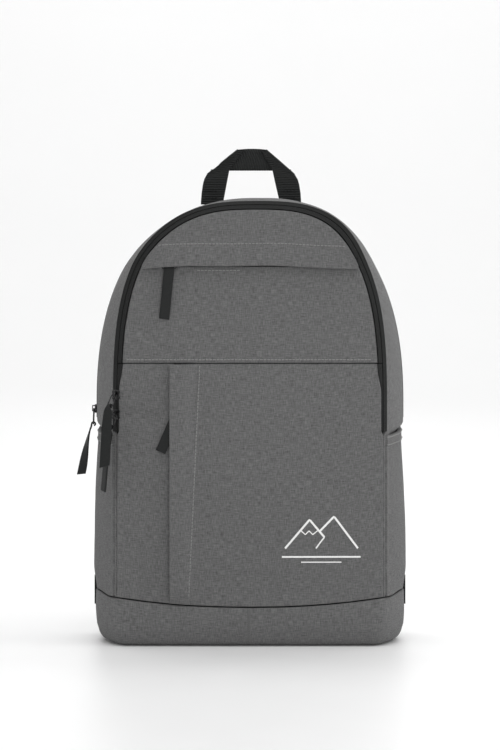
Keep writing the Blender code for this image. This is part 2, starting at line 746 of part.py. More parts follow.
def build_puller(name, hook, facing, hang, drape, loop, ribbon, twist=0.0, thin=False):
    """Wire loop hanging along `hang`, and a folded ribbon on it hanging along `drape`."""
    down = hang.normalized()
    across = down.cross(facing).normalized()
    out = across.cross(down).normalized()
    wide, long = loop
    wire = THIN_LOOP_WIRE if thin else LOOP_WIRE
    thick = THIN_RIBBON_THICKNESS if thin else RIBBON_THICKNESS
    build_loop(name, hook, across, down, loop, wire)
    centre = hook + down * long
    reach = wire + GAP + thick / 2
    line = []
    for k in range(9):
        turn = math.radians(250 - 250 * k / 8)
        line.append(centre + out * (reach * math.cos(turn)) - down * (reach * math.sin(turn)))
    start = centre + out * reach
    sides = [across] * len(line)
    fold_width = min(RIBBON_WIDTH, wide - 0.0026)
    widths = [fold_width] * len(line)
    fall = drape.normalized()
    level = fall.cross(facing).normalized()
    away = level.cross(fall).normalized()
    for k in range(1, 9):
        t = k / 8
        settle = smooth(t * 2) * (reach - thick)
        sag = 0.0 if thin else 0.0006 * math.sin(math.pi * t * 1.5)
        turn = math.radians(twist * smooth(t * 2))
        line.append(start + fall * (ribbon * t) - away * (settle - sag))
        sides.append(level * math.cos(turn) + away * math.sin(turn))
        widths.append(fold_width + (RIBBON_WIDTH - fold_width) * smooth(t * 5))
    band(f"{name}_ribbon", line, sides, widths, thick, "webbing", hook)


def build_front_hardware():
    """The two sliders parked together on the front zip, one puller hanging over the other."""
    facing = Vector((-0.574, -0.819, 0))
    centre = Vector((-FRONT_HALF_WIDTH, FRONT_Y + 0.0002, 0.2375))
    hook = build_slider("front_slider_upper", centre, facing)
    build_puller("front_puller_upper", hook, facing, Vector((-0.42, -0.45, -1)),
                 Vector((-0.07, -0.12, -1)), (0.0062, 0.0125), 0.058, twist=25)
    centre.z = 0.2190
    hook = build_slider("front_slider_lower", centre, facing)
    build_puller("front_puller_lower", hook, facing, Vector((-0.30, -0.10, -1)),
                 Vector((-0.11, 0.02, -1)), (0.0062, 0.0125), 0.061, twist=-25)


def build_rear_hardware():
    """The slider and puller at the lower left end of the rear zip."""
    side = Vector((-1, 0, 0))
    y = sum(REAR_TAPE_Y) / 2
    hook = build_slider("rear_slider", Vector((-side_x(y, 0.240) - 0.0003, y, 0.2235)), side, 0.9)
    build_puller("rear_puller", hook, side, Vector((-0.03, 0, -1)), Vector((-0.226, 0, -1)),
                 (0.0062, 0.0150), 0.050, twist=55)


def build_pocket_hardware():
    """The flat sliders and pullers of the two zipped front pockets."""
    front = Vector((0, -1, 0))
    centre = Vector((-0.0760, front_y(0, 0.3625) - 0.0002, 0.3620))
    hook = build_slider("top_slider", centre, front, 0.8, thin=True, level=True)
    build_puller("top_puller", hook, front, Vector((-0.01, 0, -1)), Vector((-0.098, 0, -1)),
                 (0.0132, 0.0062), 0.0475, thin=True)
    slant = Vector((-0.067, -1, 0))
    x = sum(SIDE_TAPE_X) / 2
    hook = build_slider("side_slider", Vector((x, front_y(x, 0.23) - 0.0005, 0.2295)), slant, 0.8, thin=True)
    build_puller("side_puller", hook, slant, Vector((-0.02, 0.0157, -1)), Vector((-0.437, 0.0157, -1)),
                 (0.0062, 0.0100), 0.039, thin=True)


# ---------------------------------------------------------------- handle and straps


def build_handle():
    """Grab handle: one webbing folded over into an upside-down U."""
    outline = [(-0.0485, 0.0), (-0.0435, 0.0260), (-0.0115, 0.0518), (0.0157, 0.0513), (0.0452, 0.0260),
               (0.0505, 0.0), (0.0290, 0.0006), (0.0222, 0.0306), (-0.0205, 0.0306), (-0.0262, 0.0006)]
    pivot = Vector((0, HANDLE_Y, HANDLE_PIVOT_Z))
    plate("grab_handle", outline, HANDLE_THICKNESS, "webbing", (Vector((1, 0, 0)), Vector((0, 0, 1))), pivot)


def curve_through(points, steps):
    """Catmull-Rom curve through the given points."""
    out = []
    for i in range(len(points) - 1):
        a = points[max(i - 1, 0)]
        b = points[i]
        c = points[i + 1]
        d = points[min(i + 2, len(points) - 1)]
        for k in range(steps):
            t = k / steps
            out.append(0.5 * (2 * b + (c - a) * t + (2 * a - 5 * b + 4 * c - d) * t * t
                              + (3 * b - a - 3 * c + d) * t**3))
    return out + [points[-1]]


def build_strap(label, side):
    """Shoulder strap: pad, ladder lock on a webbing loop, and the adjusting webbing."""
    def at(x, y, z):
        return Vector((side * x, y, z))

    pivot = at(*STRAP_TOP)
    wide = Vector((1, 0, 0))
    spine = [at(0.052, 0.0840, 0.4085), at(0.052, 0.0940, 0.4080), at(0.053, 0.1040, 0.3920),
             at(0.061, 0.1150, 0.340), at(0.075, 0.1180, 0.280), at(0.092, 0.1120, 0.225)]
    path = curve_through(spine, 4)
    widths = [PAD_WIDTH * (0.78 + 0.22 * smooth(i / 8)) for i in range(len(path))]
    band(f"strap_pad_{label}", path, wide, widths, PAD_THICKNESS, "air_mesh", pivot)
    low = path[-1]
    along = (path[-1] - path[-2]).normalized()
    flat = (wide - along * wide.dot(along)).normalized()
    out = (along.cross(flat)).normalized()
    if out.y < 0:
        out = -out
    lock = low + along * 0.0190
    half = WEBBING_WIDTH / 2 + 0.0012
    across = [-half - 0.0030, -half, half, half + 0.0030]
    rows = [-0.0125, -0.0100, -0.0014, 0.0014, 0.0085, 0.0115]
    cell_plate(f"ladder_lock_{label}", across, rows, lambda i, j: i != 1 or j in (0, 2, 4),
               LOCK_THICKNESS, "buckle_plastic", (flat, along), lock)
    thick = WEBBING_THICKNESS
    gap = LOCK_THICKNESS / 2 + thick / 2 + 2 * GAP
    loop = []
    for k in range(9):
        turn = math.radians(-90 + 180 * k / 8)
        loop.append((gap * math.sin(turn), math.cos(turn) * 0.0036))
    top = lock + along * -0.01125
    ring = [low + along * 0.0012 - out * gap]
    ring += [top + along * b + out * a for a, b in loop]
    ring += [low + along * 0.0012 + out * gap]
    band(f"lock_loop_{label}", ring, flat, WEBBING_WIDTH - 0.001, thick, "webbing", pivot)
    return lock, along, flat, out


def build_straps():
    """Both shoulder straps with their lower anchors."""
    for label, side in (("left", -1), ("right", 1)):
        pivot = Vector((side * STRAP_TOP.x, STRAP_TOP.y, STRAP_TOP.z))
        lock, along, flat, out = build_strap(label, side)
        clear = LOCK_THICKNESS / 2 + WEBBING_THICKNESS / 2 + 2 * GAP
        anchor = Vector((side * STRAP_LOW.x, STRAP_LOW.y, STRAP_LOW.z))
        tail = lock + along * 0.060 - out * (clear + 0.0105)
        path = [
            tail,
            lock + along * 0.030 - out * (clear + 0.0085),
            lock + along * 0.012 - out * (clear + 0.0038),
            lock - along * 0.0010 - out * (clear + 0.0025),
            lock - along * 0.0032 - out * (clear * 0.3),
            lock - along * 0.0030 + out * (clear * 0.7),
            lock - along * 0.0010 + out * clear,
            lock + along * 0.0010 + out * clear,
            lock + along * 0.0030 + out * (clear * 0.7),
            lock + along * 0.0036 - out * (clear * 0.3),
            lock + along * 0.0070 - out * (clear + 0.0002),
            lock + along * 0.0150 - out * (clear + 0.0004),
        ]
        mid = path[-1] * 0.45 + anchor * 0.55 + Vector((0, 0.010, 0))
        path = path[:-1] + curve_through([path[-1], mid, anchor + Vector((side * -0.001, 0.001, 0.012))], 4)
        band(f"strap_webbing_{label}", path, flat, WEBBING_WIDTH - 0.001, WEBBING_THICKNESS,
             "webbing", pivot)
        yoke = [Vector((side * STRAP_TOP.x, BACK_Y + dy, dz)) for dy, dz in
                ((0.0064, 0.4068), (0.0072, 0.4108), (0.0102, 0.4124), (0.0138, 0.4118), (0.0158, 0.4100))]
        band(f"strap_yoke_{label}", yoke, Vector((1, 0, 0)), 0.0340, 0.0022, "pack_cloth")
        tab = [(-0.012, 0.000), (0.000, -0.013), (0.0135, -0.013), (0.0135, 0.016), (0.002, 0.012)]
        outline = [(side * a, b) for a, b in tab]
        plate(f"strap_anchor_{label}", outline, 0.0026, "webbing",
              (Vector((1, 0, 0)), Vector((0, 0, 1))), Vector((side * 0.1415, BACK_Y + 0.0062, 0.041)))


def build():
    """Build the whole bag."""
    clear_scene()
    build_base()
    build_back()
    build_gussets()
    build_side_panels()
    build_front_lower()
    build_front_upper()
    build_front_zip()
    build_front_hardware()
    build_rear_hardware()
    build_pocket_hardware()
    build_handle()
    build_straps()


build()
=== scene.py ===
"""Two-compartment daypack: fabric shell, zips, pullers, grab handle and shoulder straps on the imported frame.

The bag stands on its base at Z = 0 with its front facing -Y. All lengths are metres.
"""

import math

import bmesh
import bpy
from bpy.props import FloatProperty, FloatVectorProperty, PointerProperty
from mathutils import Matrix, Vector, noise


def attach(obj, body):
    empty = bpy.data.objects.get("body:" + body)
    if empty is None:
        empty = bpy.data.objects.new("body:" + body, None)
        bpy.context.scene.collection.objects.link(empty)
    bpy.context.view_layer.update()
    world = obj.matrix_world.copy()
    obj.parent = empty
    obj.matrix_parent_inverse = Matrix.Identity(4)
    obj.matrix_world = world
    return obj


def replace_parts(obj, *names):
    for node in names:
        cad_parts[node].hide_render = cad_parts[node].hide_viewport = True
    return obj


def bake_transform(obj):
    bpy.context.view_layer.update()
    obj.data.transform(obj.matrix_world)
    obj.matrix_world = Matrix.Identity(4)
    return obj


bl_info = {
    "name": "Two-Compartment Daypack",
    "version": (1, 0, 0),
    "blender": (4, 5, 0),
    "location": "3D View > Sidebar > Daypack",
    "description": "Sews the fabric, zips, handle and straps of a daypack onto its packed frame",
    "category": "Object",
}

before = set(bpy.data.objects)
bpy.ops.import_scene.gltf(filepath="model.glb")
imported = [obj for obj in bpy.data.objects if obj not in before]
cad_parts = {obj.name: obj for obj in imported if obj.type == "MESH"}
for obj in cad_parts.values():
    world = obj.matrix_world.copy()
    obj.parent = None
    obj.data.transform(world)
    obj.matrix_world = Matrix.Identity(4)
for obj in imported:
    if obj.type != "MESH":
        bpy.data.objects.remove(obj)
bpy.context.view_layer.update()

# shell outline: straight sides up to SPRING_Z, then an arch over the top
SPRING_Z = 0.226
FRONT_Y = -0.060
WIDE_Y = 0.010
BACK_Y = 0.061
FRONT_HALF_WIDTH = 0.1255
WIDE_HALF_WIDTH = 0.1485
BACK_HALF_WIDTH = 0.1455
FRONT_TOP_Z = 0.4165
WIDE_TOP_Z = 0.4275
BACK_TOP_Z = 0.4265
FRONT_POWER = 2.85
WIDE_POWER = 2.4
SIDE_RECESS = 0.0090
RECESS_FADE = 0.012
RECESS_SHOULDER = 0.004
LEAN = 0.0070
LEAN_Z = (0.355, 0.430)
FRONT_CROWN = 0.0060
CROWN_Z = 0.170
TAPE = 0.0012
PUCKER_REACH = 0.009
CAMERA_LENS = 109.1
CAMERA_PLACE = (0, -2.2, 0.256)
GAP = 0.0004
SEAM_GAP = 0.0009

# horizontal lines of the front
BASE_RIM_FRONT_Z = 0.037
BASE_RIM_SIDE_Z = 0.049
ZIP_END_Z = 0.2015
FOLD_Z = 0.267
SPLIT_REAR_Z = 0.284
REAR_ZIP_END_Z = 0.2145
TAPE_HALF = 0.0038
ZIP_SLOPE = 0.60
PANEL_INSET = TAPE_HALF + 0.0010
GUSSET_FRONT_Y = FRONT_Y + 0.0062
REAR_TAPE_Y = (0.0095, 0.0145)

# pockets on the front and sides
FLAP_EDGE_Z = 0.3585
FLAP_LIFT = 0.0060
TOP_TAPE_TOP_Z = 0.3665
SIDE_FLAP_LEFT_X = -0.0757
SIDE_FLAP_RIGHT_X = -0.0490
SIDE_TAPE_X = (-0.0715, -0.0645)
HEM_FRONT_Z = 0.199
HEM_REAR_Z = 0.209
HEM_HEIGHT = 0.0105
HEM_ROWS = (0, 0.03, 0.08, 0.16, 0.3, 0.5, 0.7, 0.86, 0.94, 0.98, 1)
POCKET_SWELL = 0.0026
HEM_TUCK = 0.0018
POCKET_Y = (-0.0480, 0.0560)

# handle and straps
HANDLE_PIVOT = Vector((0, 0.046, 0.4275))
PAD_WIDTH = 0.062
PAD_THICKNESS = 0.011
WEBBING_WIDTH = 0.0200
LOCK_THICKNESS = 0.0030
STRAP_TOP = Vector((0.052, 0.0800, 0.410))
STRAP_LOW = Vector((0.1415, 0.0725, 0.040))

CENTRE = Vector((0.0, 0.010, 0.210))
BEHIND = Vector((0.0, 1000.0, 0.0))
AHEAD = Vector((0.0, -1000.0, 0.0))

# folds pressed into the cloth: start x, start z, end x, end z, half width, depth
UPPER_FOLDS = (
    (-0.109, 0.304, -0.076, 0.276, 0.0050, 0.0016),
    (-0.060, 0.350, -0.030, 0.342, 0.0060, 0.0005),
    (0.060, 0.300, 0.106, 0.292, 0.0080, 0.0006),
    (0.020, 0.335, 0.070, 0.330, 0.0090, 0.0004),
)
LOWER_FOLDS = (
    (-0.045, 0.222, -0.044, 0.208, 0.0040, 0.0009),
    (0.064, 0.1925, 0.086, 0.1920, 0.0030, 0.0004),
    (-0.040, 0.105, 0.020, 0.096, 0.0120, 0.0006),
    (0.070, 0.150, 0.112, 0.128, 0.0120, 0.0007),
    (-0.030, 0.180, 0.030, 0.186, 0.0130, 0.0005),
    (0.080, 0.235, 0.112, 0.215, 0.0070, 0.0007),
    (-0.020, 0.060, 0.050, 0.054, 0.0100, 0.0006),
)
STRIP_FOLDS = (
    (-0.117, 0.2185, -0.082, 0.2150, 0.0060, 0.0013),
    (-0.118, 0.178, -0.112, 0.120, 0.0050, 0.0010),
    (-0.100, 0.090, -0.090, 0.060, 0.0070, 0.0006),
)


# ---------------------------------------------------------------- settings


class DaypackSizes(bpy.types.PropertyGroup):
    """Sizes that a maker would change."""

    cloth: FloatProperty(
        name="Cloth", description="Thickness of the main cloth", default=0.0016, unit="LENGTH"
    )
    seam_roll: FloatProperty(
        name="Seam roll", description="Radius that a cloth edge turns in at a seam",
        default=0.0014, unit="LENGTH"
    )
    thread_pitch: FloatProperty(
        name="Thread pitch", description="Spacing of the threads in the cloth", default=0.0008, unit="LENGTH"
    )
    rib_pitch: FloatProperty(
        name="Webbing rib pitch", description="Spacing of the ribs across the webbing",
        default=0.0024, unit="LENGTH"
    )
    stitch_pitch: FloatProperty(
        name="Stitch pitch", description="Distance from one stitch to the next", default=0.0034, unit="LENGTH"
    )
    stitch_length: FloatProperty(
        name="Stitch length", description="Length of the thread that shows", default=0.0026, unit="LENGTH"
    )
    stitch_width: FloatProperty(
        name="Stitch width", description="Thickness of the sewing thread", default=0.0010, unit="LENGTH"
    )
    creasing: FloatProperty(
        name="Creasing", description="How deep the folds in the cloth are", default=1.0, min=0.0, max=2.0
    )


class DaypackColours(bpy.types.PropertyGroup):
    """Colours that a maker would change."""

    cloth: FloatVectorProperty(
        name="Main cloth", description="Colour of the front, base and pockets",
        default=(0.128, 0.128, 0.128), subtype="COLOR", min=0, max=1
    )
    # painted light: the gussets get a lighter copy of the main cloth colour, standing for the brighter light
    # on the sides
    side_cloth: FloatVectorProperty(
        name="Side cloth", description="Colour of the gussets",
        default=(0.142, 0.142, 0.142), subtype="COLOR", min=0, max=1
    )
    zip_tape: FloatVectorProperty(
        name="Zip tape", description="Colour of the zips", default=(0.0016, 0.0020, 0.0018),
        subtype="COLOR", min=0, max=1
    )
    webbing: FloatVectorProperty(
        name="Webbing", description="Colour of the handle, ribbons and strap webbing",
        default=(0.0036, 0.0042, 0.0041), subtype="COLOR", min=0, max=1
    )
    thread: FloatVectorProperty(
        name="Thread", description="Colour of the sewing thread", default=(0.235, 0.235, 0.232),
        subtype="COLOR", min=0, max=1
    )
    mark: FloatVectorProperty(
        name="Mark", description="Colour of the plain printed mark", default=(0.82, 0.82, 0.81),
        subtype="COLOR", min=0, max=1
    )


def sizes():
    """Current sizes."""
    return bpy.context.scene.daypack_sizes


def colours():
    """Current colours."""
    return bpy.context.scene.daypack_colours


# ---------------------------------------------------------------- shape of the shell


def smooth(value):
    """Ease from 0 to 1 as the value goes from 0 to 1."""
    value = min(max(value, 0.0), 1.0)
    return value * value * (3 - 2 * value)


def depth_mix(y, front, wide, back):
    """Blend a dimension from the front edge through the widest line to the back edge."""
    if y <= WIDE_Y:
        t = (WIDE_Y - y) / (WIDE_Y - FRONT_Y)
        return wide + (front - wide) * t * t
    t = (y - WIDE_Y) / (BACK_Y - WIDE_Y)
    return wide + (back - wide) * t * t


def shell_section(y):
    """Half width, top height and squareness of the shell at a depth."""
    return (
        depth_mix(y, FRONT_HALF_WIDTH, WIDE_HALF_WIDTH, BACK_HALF_WIDTH),
        depth_mix(y, FRONT_TOP_Z, WIDE_TOP_Z, BACK_TOP_Z),
        depth_mix(y, FRONT_POWER, WIDE_POWER, WIDE_POWER),
    )


def arch_half(z, half, top, power):
    """Half width of an arch at a height."""
    rise = min(max((z - SPRING_Z) / (top - SPRING_Z), 0.0), 1.0)
    return half * (1 - rise**power) ** (1 / power)


def arch_height(x, half, top, power):
    """Height of an arch at a distance from the middle."""
    reach = min(abs(x) / half, 1.0)
    return SPRING_Z + (top - SPRING_Z) * (1 - reach**power) ** (1 / power)


def hem_top(y):
    """Height of the upper edge of the pocket hem."""
    share = (y - POCKET_Y[0]) / (POCKET_Y[1] - POCKET_Y[0])
    return HEM_FRONT_Z + (HEM_REAR_Z - HEM_FRONT_Z) * min(max(share, 0.0), 1.0)


def lean(p):
    """The crown of the bag leans a little to the right."""
    low, high = LEAN_Z
    return p + Vector((LEAN * smooth((p.z - low) / (high - low)), 0, 0))


def recess(y, z):
    """How far the lower side walls stand in behind the slip pockets."""
    low = 1 - smooth((z - hem_top(y) + RECESS_SHOULDER) / RECESS_FADE)
    window = smooth((y - FRONT_Y) / 0.030) * smooth((BACK_Y - y) / 0.020)
    foot = smooth((z - BASE_RIM_SIDE_Z) / 0.030)
    return SIDE_RECESS * low * window * (0.25 + 0.75 * foot)


def side_x(y, z):
    """Half width of the side wall at a depth and height."""
    return arch_half(z, *shell_section(y)) - recess(y, z)


def even_steps(line, count):
    """Points at even spacing along a polyline of 2-D points."""
    lengths = [0.0]
    for a, b in zip(line, line[1:]):
        lengths.append(lengths[-1] + math.dist(a, b))
    out = []
    k = 0
    for i in range(count):
        want = lengths[-1] * i / (count - 1)
        while k < len(line) - 2 and lengths[k + 1] < want:
            k += 1
        t = (want - lengths[k]) / max(lengths[k + 1] - lengths[k], 1e-12)
        a, b = line[k], line[k + 1]
        out.append((a[0] + (b[0] - a[0]) * t, a[1] + (b[1] - a[1]) * t))
    return out


def arch_line(y, start_z, count, shape=None):
    """Even points over the arch from the left side at start_z to the right side at start_z."""
    half, top, power = shape or shell_section(y)
    right = []
    for i in range(101):
        z = start_z + (SPRING_Z - start_z) * i / 101
        if start_z < SPRING_Z:
            right.append((half - (0 if shape else recess(y, z)), z))
    for i in range(401):
        turn = math.pi / 2 * i / 400
        x = half * math.cos(turn) ** (2 / power) if i < 400 else 0.0
        z = SPRING_Z + (top - SPRING_Z) * math.sin(turn) ** (2 / power)
        if z > start_z:
            right.append((x - (0 if shape else recess(y, z)), z))
    if start_z >= SPRING_Z:
        right.insert(0, (arch_half(start_z, half, top, power), start_z))
    left = [(-x, z) for x, z in right]
    return even_steps(left + right[-2::-1], count)


def front_y(x, z):
    """Depth of the gently crowned front face."""
    reach = 0.170 if z > CROWN_Z else 0.200
    crown = 0.12 + 0.88 * math.cos(math.pi / 2 * min(abs(z - CROWN_Z) / reach, 1.0)) ** 2
    across = 1 - min(abs(x) / FRONT_HALF_WIDTH, 1.0) ** 2
    return FRONT_Y - FRONT_CROWN * crown * across


def base_rim(x, y):
    """Height of the seam where the base tray meets the walls."""
    corner_z = BASE_RIM_FRONT_Z + 0.009 * min(abs(x) / FRONT_HALF_WIDTH, 1.0) ** 2.2
    rise = smooth((y - FRONT_Y - 0.008) / 0.034)
    return corner_z + (BASE_RIM_SIDE_Z - corner_z) * rise


def panel_edge(z):
    """Half width of the front panel: out to the corner seam below the zip, inside it above."""
    inner = arch_half(z, FRONT_HALF_WIDTH - PANEL_INSET, FRONT_TOP_Z - PANEL_INSET, FRONT_POWER)
    tuck = 0.0030 * (1 - smooth((z - 0.238) / 0.026))
    blend = smooth((z - ZIP_END_Z + 0.003) / 0.005)
    outer = FRONT_HALF_WIDTH - 0.0002
    return outer + (inner + tuck - outer) * blend


def curve_through(points, steps):
    """Catmull-Rom curve through the given points."""
    out = []
    for i in range(len(points) - 1):
        a = points[max(i - 1, 0)]
        b = points[i]
        c = points[i + 1]
        d = points[min(i + 2, len(points) - 1)]
        for k in range(steps):
            t = k / steps
            out.append(0.5 * (2 * b + (c - a) * t + (2 * a - 5 * b + 4 * c - d) * t * t
                              + (3 * b - a - 3 * c + d) * t**3))
    return out + [points[-1]]


# ---------------------------------------------------------------- cloth relief


def rumple(p, seed, amount=1.0):
    """Gentle unevenness of hanging cloth at a point."""
    q = p + Vector((seed * 3.7, seed * 1.3, seed * 2.1))
    wide = 0.0008 * noise.noise(q * 11)
    middle = 0.00034 * noise.noise(q * 30)
    small = 0.00010 * noise.noise(q * 85)
    return (wide + middle + small) * amount * sizes().creasing


def pressed(x, z, folds):
    """Depth of the listed folds at a place on the front."""
    total = 0.0
    for x0, z0, x1, z1, width, depth in folds:
        dx, dz = x1 - x0, z1 - z0
        length = math.hypot(dx, dz)
        t = ((x - x0) * dx + (z - z0) * dz) / length**2
        if not -0.5 < t < 1.5:
            continue
        across = ((x - x0) * dz - (z - z0) * dx) / length / width
        ends = smooth((t + 0.5) / 0.6) * smooth((1.5 - t) / 0.6)
        total += depth * ends * (math.exp(-across * across) - 0.55 * math.exp(-((across - 1.7) ** 2)))
    return total * sizes().creasing


def puckers(along, distance, seed, amount=0.00030):
    """Small gathers that a seam pulls into the cloth beside it."""
    if distance > PUCKER_REACH * 4:
        return 0.0
    wave = noise.noise(Vector((along * 95, seed * 5.3, distance * 40)))
    wave += 0.6 * noise.noise(Vector((along * 210, seed * 2.9, 7.1)))
    return amount * wave * math.exp(-((distance / PUCKER_REACH) ** 2))


def lower_relief(p):
    """Relief of the standing front panels."""
    fade = smooth((FOLD_Z - p.z) / 0.006)
    low = p.z - base_rim(p.x, FRONT_Y)
    value = rumple(p, 1) * fade * smooth(low / 0.010)
    value += puckers(p.x, FOLD_Z - p.z, 2) + puckers(p.x, low, 3)
    return value - pressed(p.x, p.z, LOWER_FOLDS)


def strip_relief(p):
    """Relief of the narrow strip beside the side pocket."""
    fade = smooth((FOLD_Z - p.z) / 0.006) * smooth((p.z - base_rim(p.x, FRONT_Y)) / 0.010)
    return rumple(p, 4, 0.9) * fade + puckers(p.x, FOLD_Z - p.z, 5) - pressed(p.x, p.z, STRIP_FOLDS)


def upper_relief(p):
    """Relief of the fold-down front panel."""
    fade = smooth((p.z - FOLD_Z) / 0.006)
    value = rumple(p, 6, 0.9) * fade + puckers(p.x, p.z - FOLD_Z, 7)
    return value - pressed(p.x, p.z, UPPER_FOLDS)


# ---------------------------------------------------------------- making pieces

EDGE_STEPS = (0.0, 0.0003, 0.0007, 0.0013, 0.0022, 0.0036)


def marks(low, high, count):
    """Positions from low to high: close together at both ends and even between."""
    inner = high - low - 2 * EDGE_STEPS[-1]
    out = [low + step for step in EDGE_STEPS]
    out += [low + EDGE_STEPS[-1] + inner * i / count for i in range(1, count)]
    return out + [high - step for step in reversed(EDGE_STEPS)]


def finished_object(name, points, faces, uv, finish, smooth_angle=60):
    """Closed mesh with outward normals, a cloth UV map in metres and one material."""
    mesh = bpy.data.meshes.new(name)
    mesh.from_pydata([tuple(p) for p in points], [], faces)
    layer = mesh.uv_layers.new(name="cloth")
    values = []
    for loop in mesh.loops:
        values.extend(uv[loop.vertex_index])
    layer.data.foreach_set("uv", values)
    work = bmesh.new()
    work.from_mesh(mesh)
    bmesh.ops.recalc_face_normals(work, faces=work.faces)
    work.to_mesh(mesh)
    work.free()
    mesh.shade_smooth()
    mesh.set_sharp_from_angle(angle=math.radians(smooth_angle))
    mesh.materials.append(finish)
    thing = bpy.data.objects.new(name, mesh)
    bpy.context.scene.collection.objects.link(thing)
    return thing


def grid_normals(grid, inside):
    """Unit normals of a point grid, away from the point `inside`."""
    rows, columns = len(grid), len(grid[0])
    out = []
    for r in range(rows):
        line = []
        for c in range(columns):
            down = grid[min(r + 1, rows - 1)][c] - grid[max(r - 1, 0)][c]
            along = grid[r][min(c + 1, columns - 1)] - grid[r][max(c - 1, 0)]
            normal = down.cross(along)
            if normal.length < 1e-14:
                normal = grid[r][c] - inside
            normal.normalize()
            if normal.dot(inside - grid[r][c]) > 0:
                normal = -normal
            line.append(normal)
        out.append(line)
    return out


def running(line):
    """Running length along a list of points."""
    out = [0.0]
    for a, b in zip(line, line[1:]):
        out.append(out[-1] + (b - a).length)
    return out


def rolled_in(distance, radius):
    """How far an edge of radius `radius` has turned in at a distance from it."""
    if radius <= 0 or distance >= radius:
        return 0.0
    return radius - math.sqrt(max(radius**2 - (radius - distance) ** 2, 0.0))


def cloth_piece(name, grid, thickness, inside, finish, roll=None, relief=None, plumb=False):
    """Closed piece of cloth from its outer grid: relief, rolled edges, an inner face and cut edges.

    `roll` holds the seam radius at the first column, last column, first row and last row; a `plumb`
    piece does not follow the lean of the crown.
    """
    if not plumb:
        grid = [[lean(p) for p in row] for row in grid]
    rows, columns = len(grid), len(grid[0])
    normals = grid_normals(grid, inside)
    across = [running(row) for row in grid]
    up = [running([grid[r][c] for r in range(rows)]) for c in range(columns)]
    if roll is None:
        roll = (sizes().seam_roll,) * 4
    outer, inner, uv = [], [], []
    for r in range(rows):
        for c in range(columns):
            p, n = grid[r][c], normals[r][c]
            u, v = across[r][c], up[c][r]
            wide, tall = across[r][-1], up[c][-1]
            height = relief(p) if relief else 0.0
            height -= rolled_in(u, roll[0]) + rolled_in(wide - u, roll[1])
            height -= rolled_in(v, roll[2]) + rolled_in(tall - v, roll[3])
            outer.append(p + n * height)
            inner.append(p + n * (height - thickness))
            uv.append((u - wide / 2, v))
    count = rows * columns
    faces = []
    for r in range(rows - 1):
        for c in range(columns - 1):
            a = r * columns + c
            quad = (a, a + 1, a + columns + 1, a + columns)
            faces.append(quad)
            faces.append(tuple(i + count for i in reversed(quad)))
    rim = list(range(columns))
    rim += [r * columns + columns - 1 for r in range(1, rows)]
    rim += [(rows - 1) * columns + c for c in range(columns - 2, -1, -1)]
    rim += [r * columns for r in range(rows - 2, 0, -1)]
    for i, a in enumerate(rim):
        b = rim[(i + 1) % len(rim)]
        faces.append((b, a, a + count, b + count))
    return finished_object(name, outer + inner, faces, uv + uv, finish)


def band(name, path, across, width, thickness, finish):
    """Woven band with rounded edges along a path; `across` and `width` are one value or one per point."""
    count = len(path)
    sides = across if isinstance(across, list) else [across] * count
    widths = width if isinstance(width, list) else [width] * count
    half = thickness / 2
    ring = [(-1, -half * 0.5, -half), (-0.5, 0, -half), (0, 0, -half), (0.5, 0, -half),
            (1, half * 0.5, -half)]
    section = []
    for share, pull, level in ring:
        section.append((share, -abs(pull) * (1 if share > 0 else -1) * 2, level))
    section.append((1, -half * 0.3, -half * 0.75))
    section.append((1, 0.0, 0.0))
    section.append((1, -half * 0.3, half * 0.75))
    for share, pull, level in reversed(ring):
        section.append((share, -abs(pull) * (1 if share > 0 else -1) * 2, -level))
    section.append((-1, half * 0.3, half * 0.75))
    section.append((-1, 0.0, 0.0))
    section.append((-1, half * 0.3, -half * 0.75))
    size = len(section)
    lengths = running(path)
    points, uv = [], []
    for i, p in enumerate(path):
        forward = (path[min(i + 1, count - 1)] - path[max(i - 1, 0)]).normalized()
        side = (sides[i] - forward * sides[i].dot(forward)).normalized()
        normal = forward.cross(side)
        for share, pull, level in section:
            offset = share * widths[i] / 2 + pull
            points.append(p + side * offset + normal * level)
            uv.append((offset, lengths[i]))
    faces = [tuple(range(size)), tuple(reversed(range((count - 1) * size, count * size)))]
    for i in range(count - 1):
        for k in range(size):
            a = i * size + k
            b = i * size + (k + 1) % size
            faces.append((a, a + size, b + size, b))
    return finished_object(name, points, faces, uv, finish, 50)


def wire(name, path, radius, sides, closed, finish):
    """Round wire or cord along a path, open with capped ends or closed on itself."""
    count = len(path)
    points, uv = [], []
    middle = sum(path, Vector()) / count
    run = running(path)
    for i, p in enumerate(path):
        if closed:
            forward = (path[(i + 1) % count] - path[i - 1]).normalized()
        else:
            forward = (path[min(i + 1, count - 1)] - path[max(i - 1, 0)]).normalized()
        first = (p - middle).cross(forward)
        if first.length < 1e-9:
            first = forward.orthogonal()
        first.normalize()
        second = forward.cross(first)
        for k in range(sides):
            turn = 2 * math.pi * k / sides
            points.append(p + first * (radius * math.cos(turn)) + second * (radius * math.sin(turn)))
            uv.append((radius * turn, run[i]))
    faces = []
    for i in range(count if closed else count - 1):
        for k in range(sides):
            a = i * sides + k
            b = i * sides + (k + 1) % sides
            c = ((i + 1) % count) * sides
            faces.append((a, b, c + (k + 1) % sides, c + k))
    if not closed:
        faces.append(tuple(reversed(range(sides))))
        faces.append(tuple(range((count - 1) * sides, count * sides)))
    return finished_object(name, points, faces, uv, finish, 50)


STITCHES = {}


def stitch_row(body, line, normal):
    """Note a row of stitches along a polyline; `normal` is one direction or one per point."""
    lengths = running(line)
    pitch = sizes().stitch_pitch
    k = 0
    for i in range(int(lengths[-1] / pitch)):
        want = (i + 0.5) * pitch
        while k < len(line) - 2 and lengths[k + 1] < want:
            k += 1
        t = (want - lengths[k]) / max(lengths[k + 1] - lengths[k], 1e-12)
        place = line[k].lerp(line[k + 1], t)
        out = normal[k] if isinstance(normal, list) else normal
        STITCHES.setdefault(body, []).append((place, (line[k + 1] - line[k]).normalized(), out))


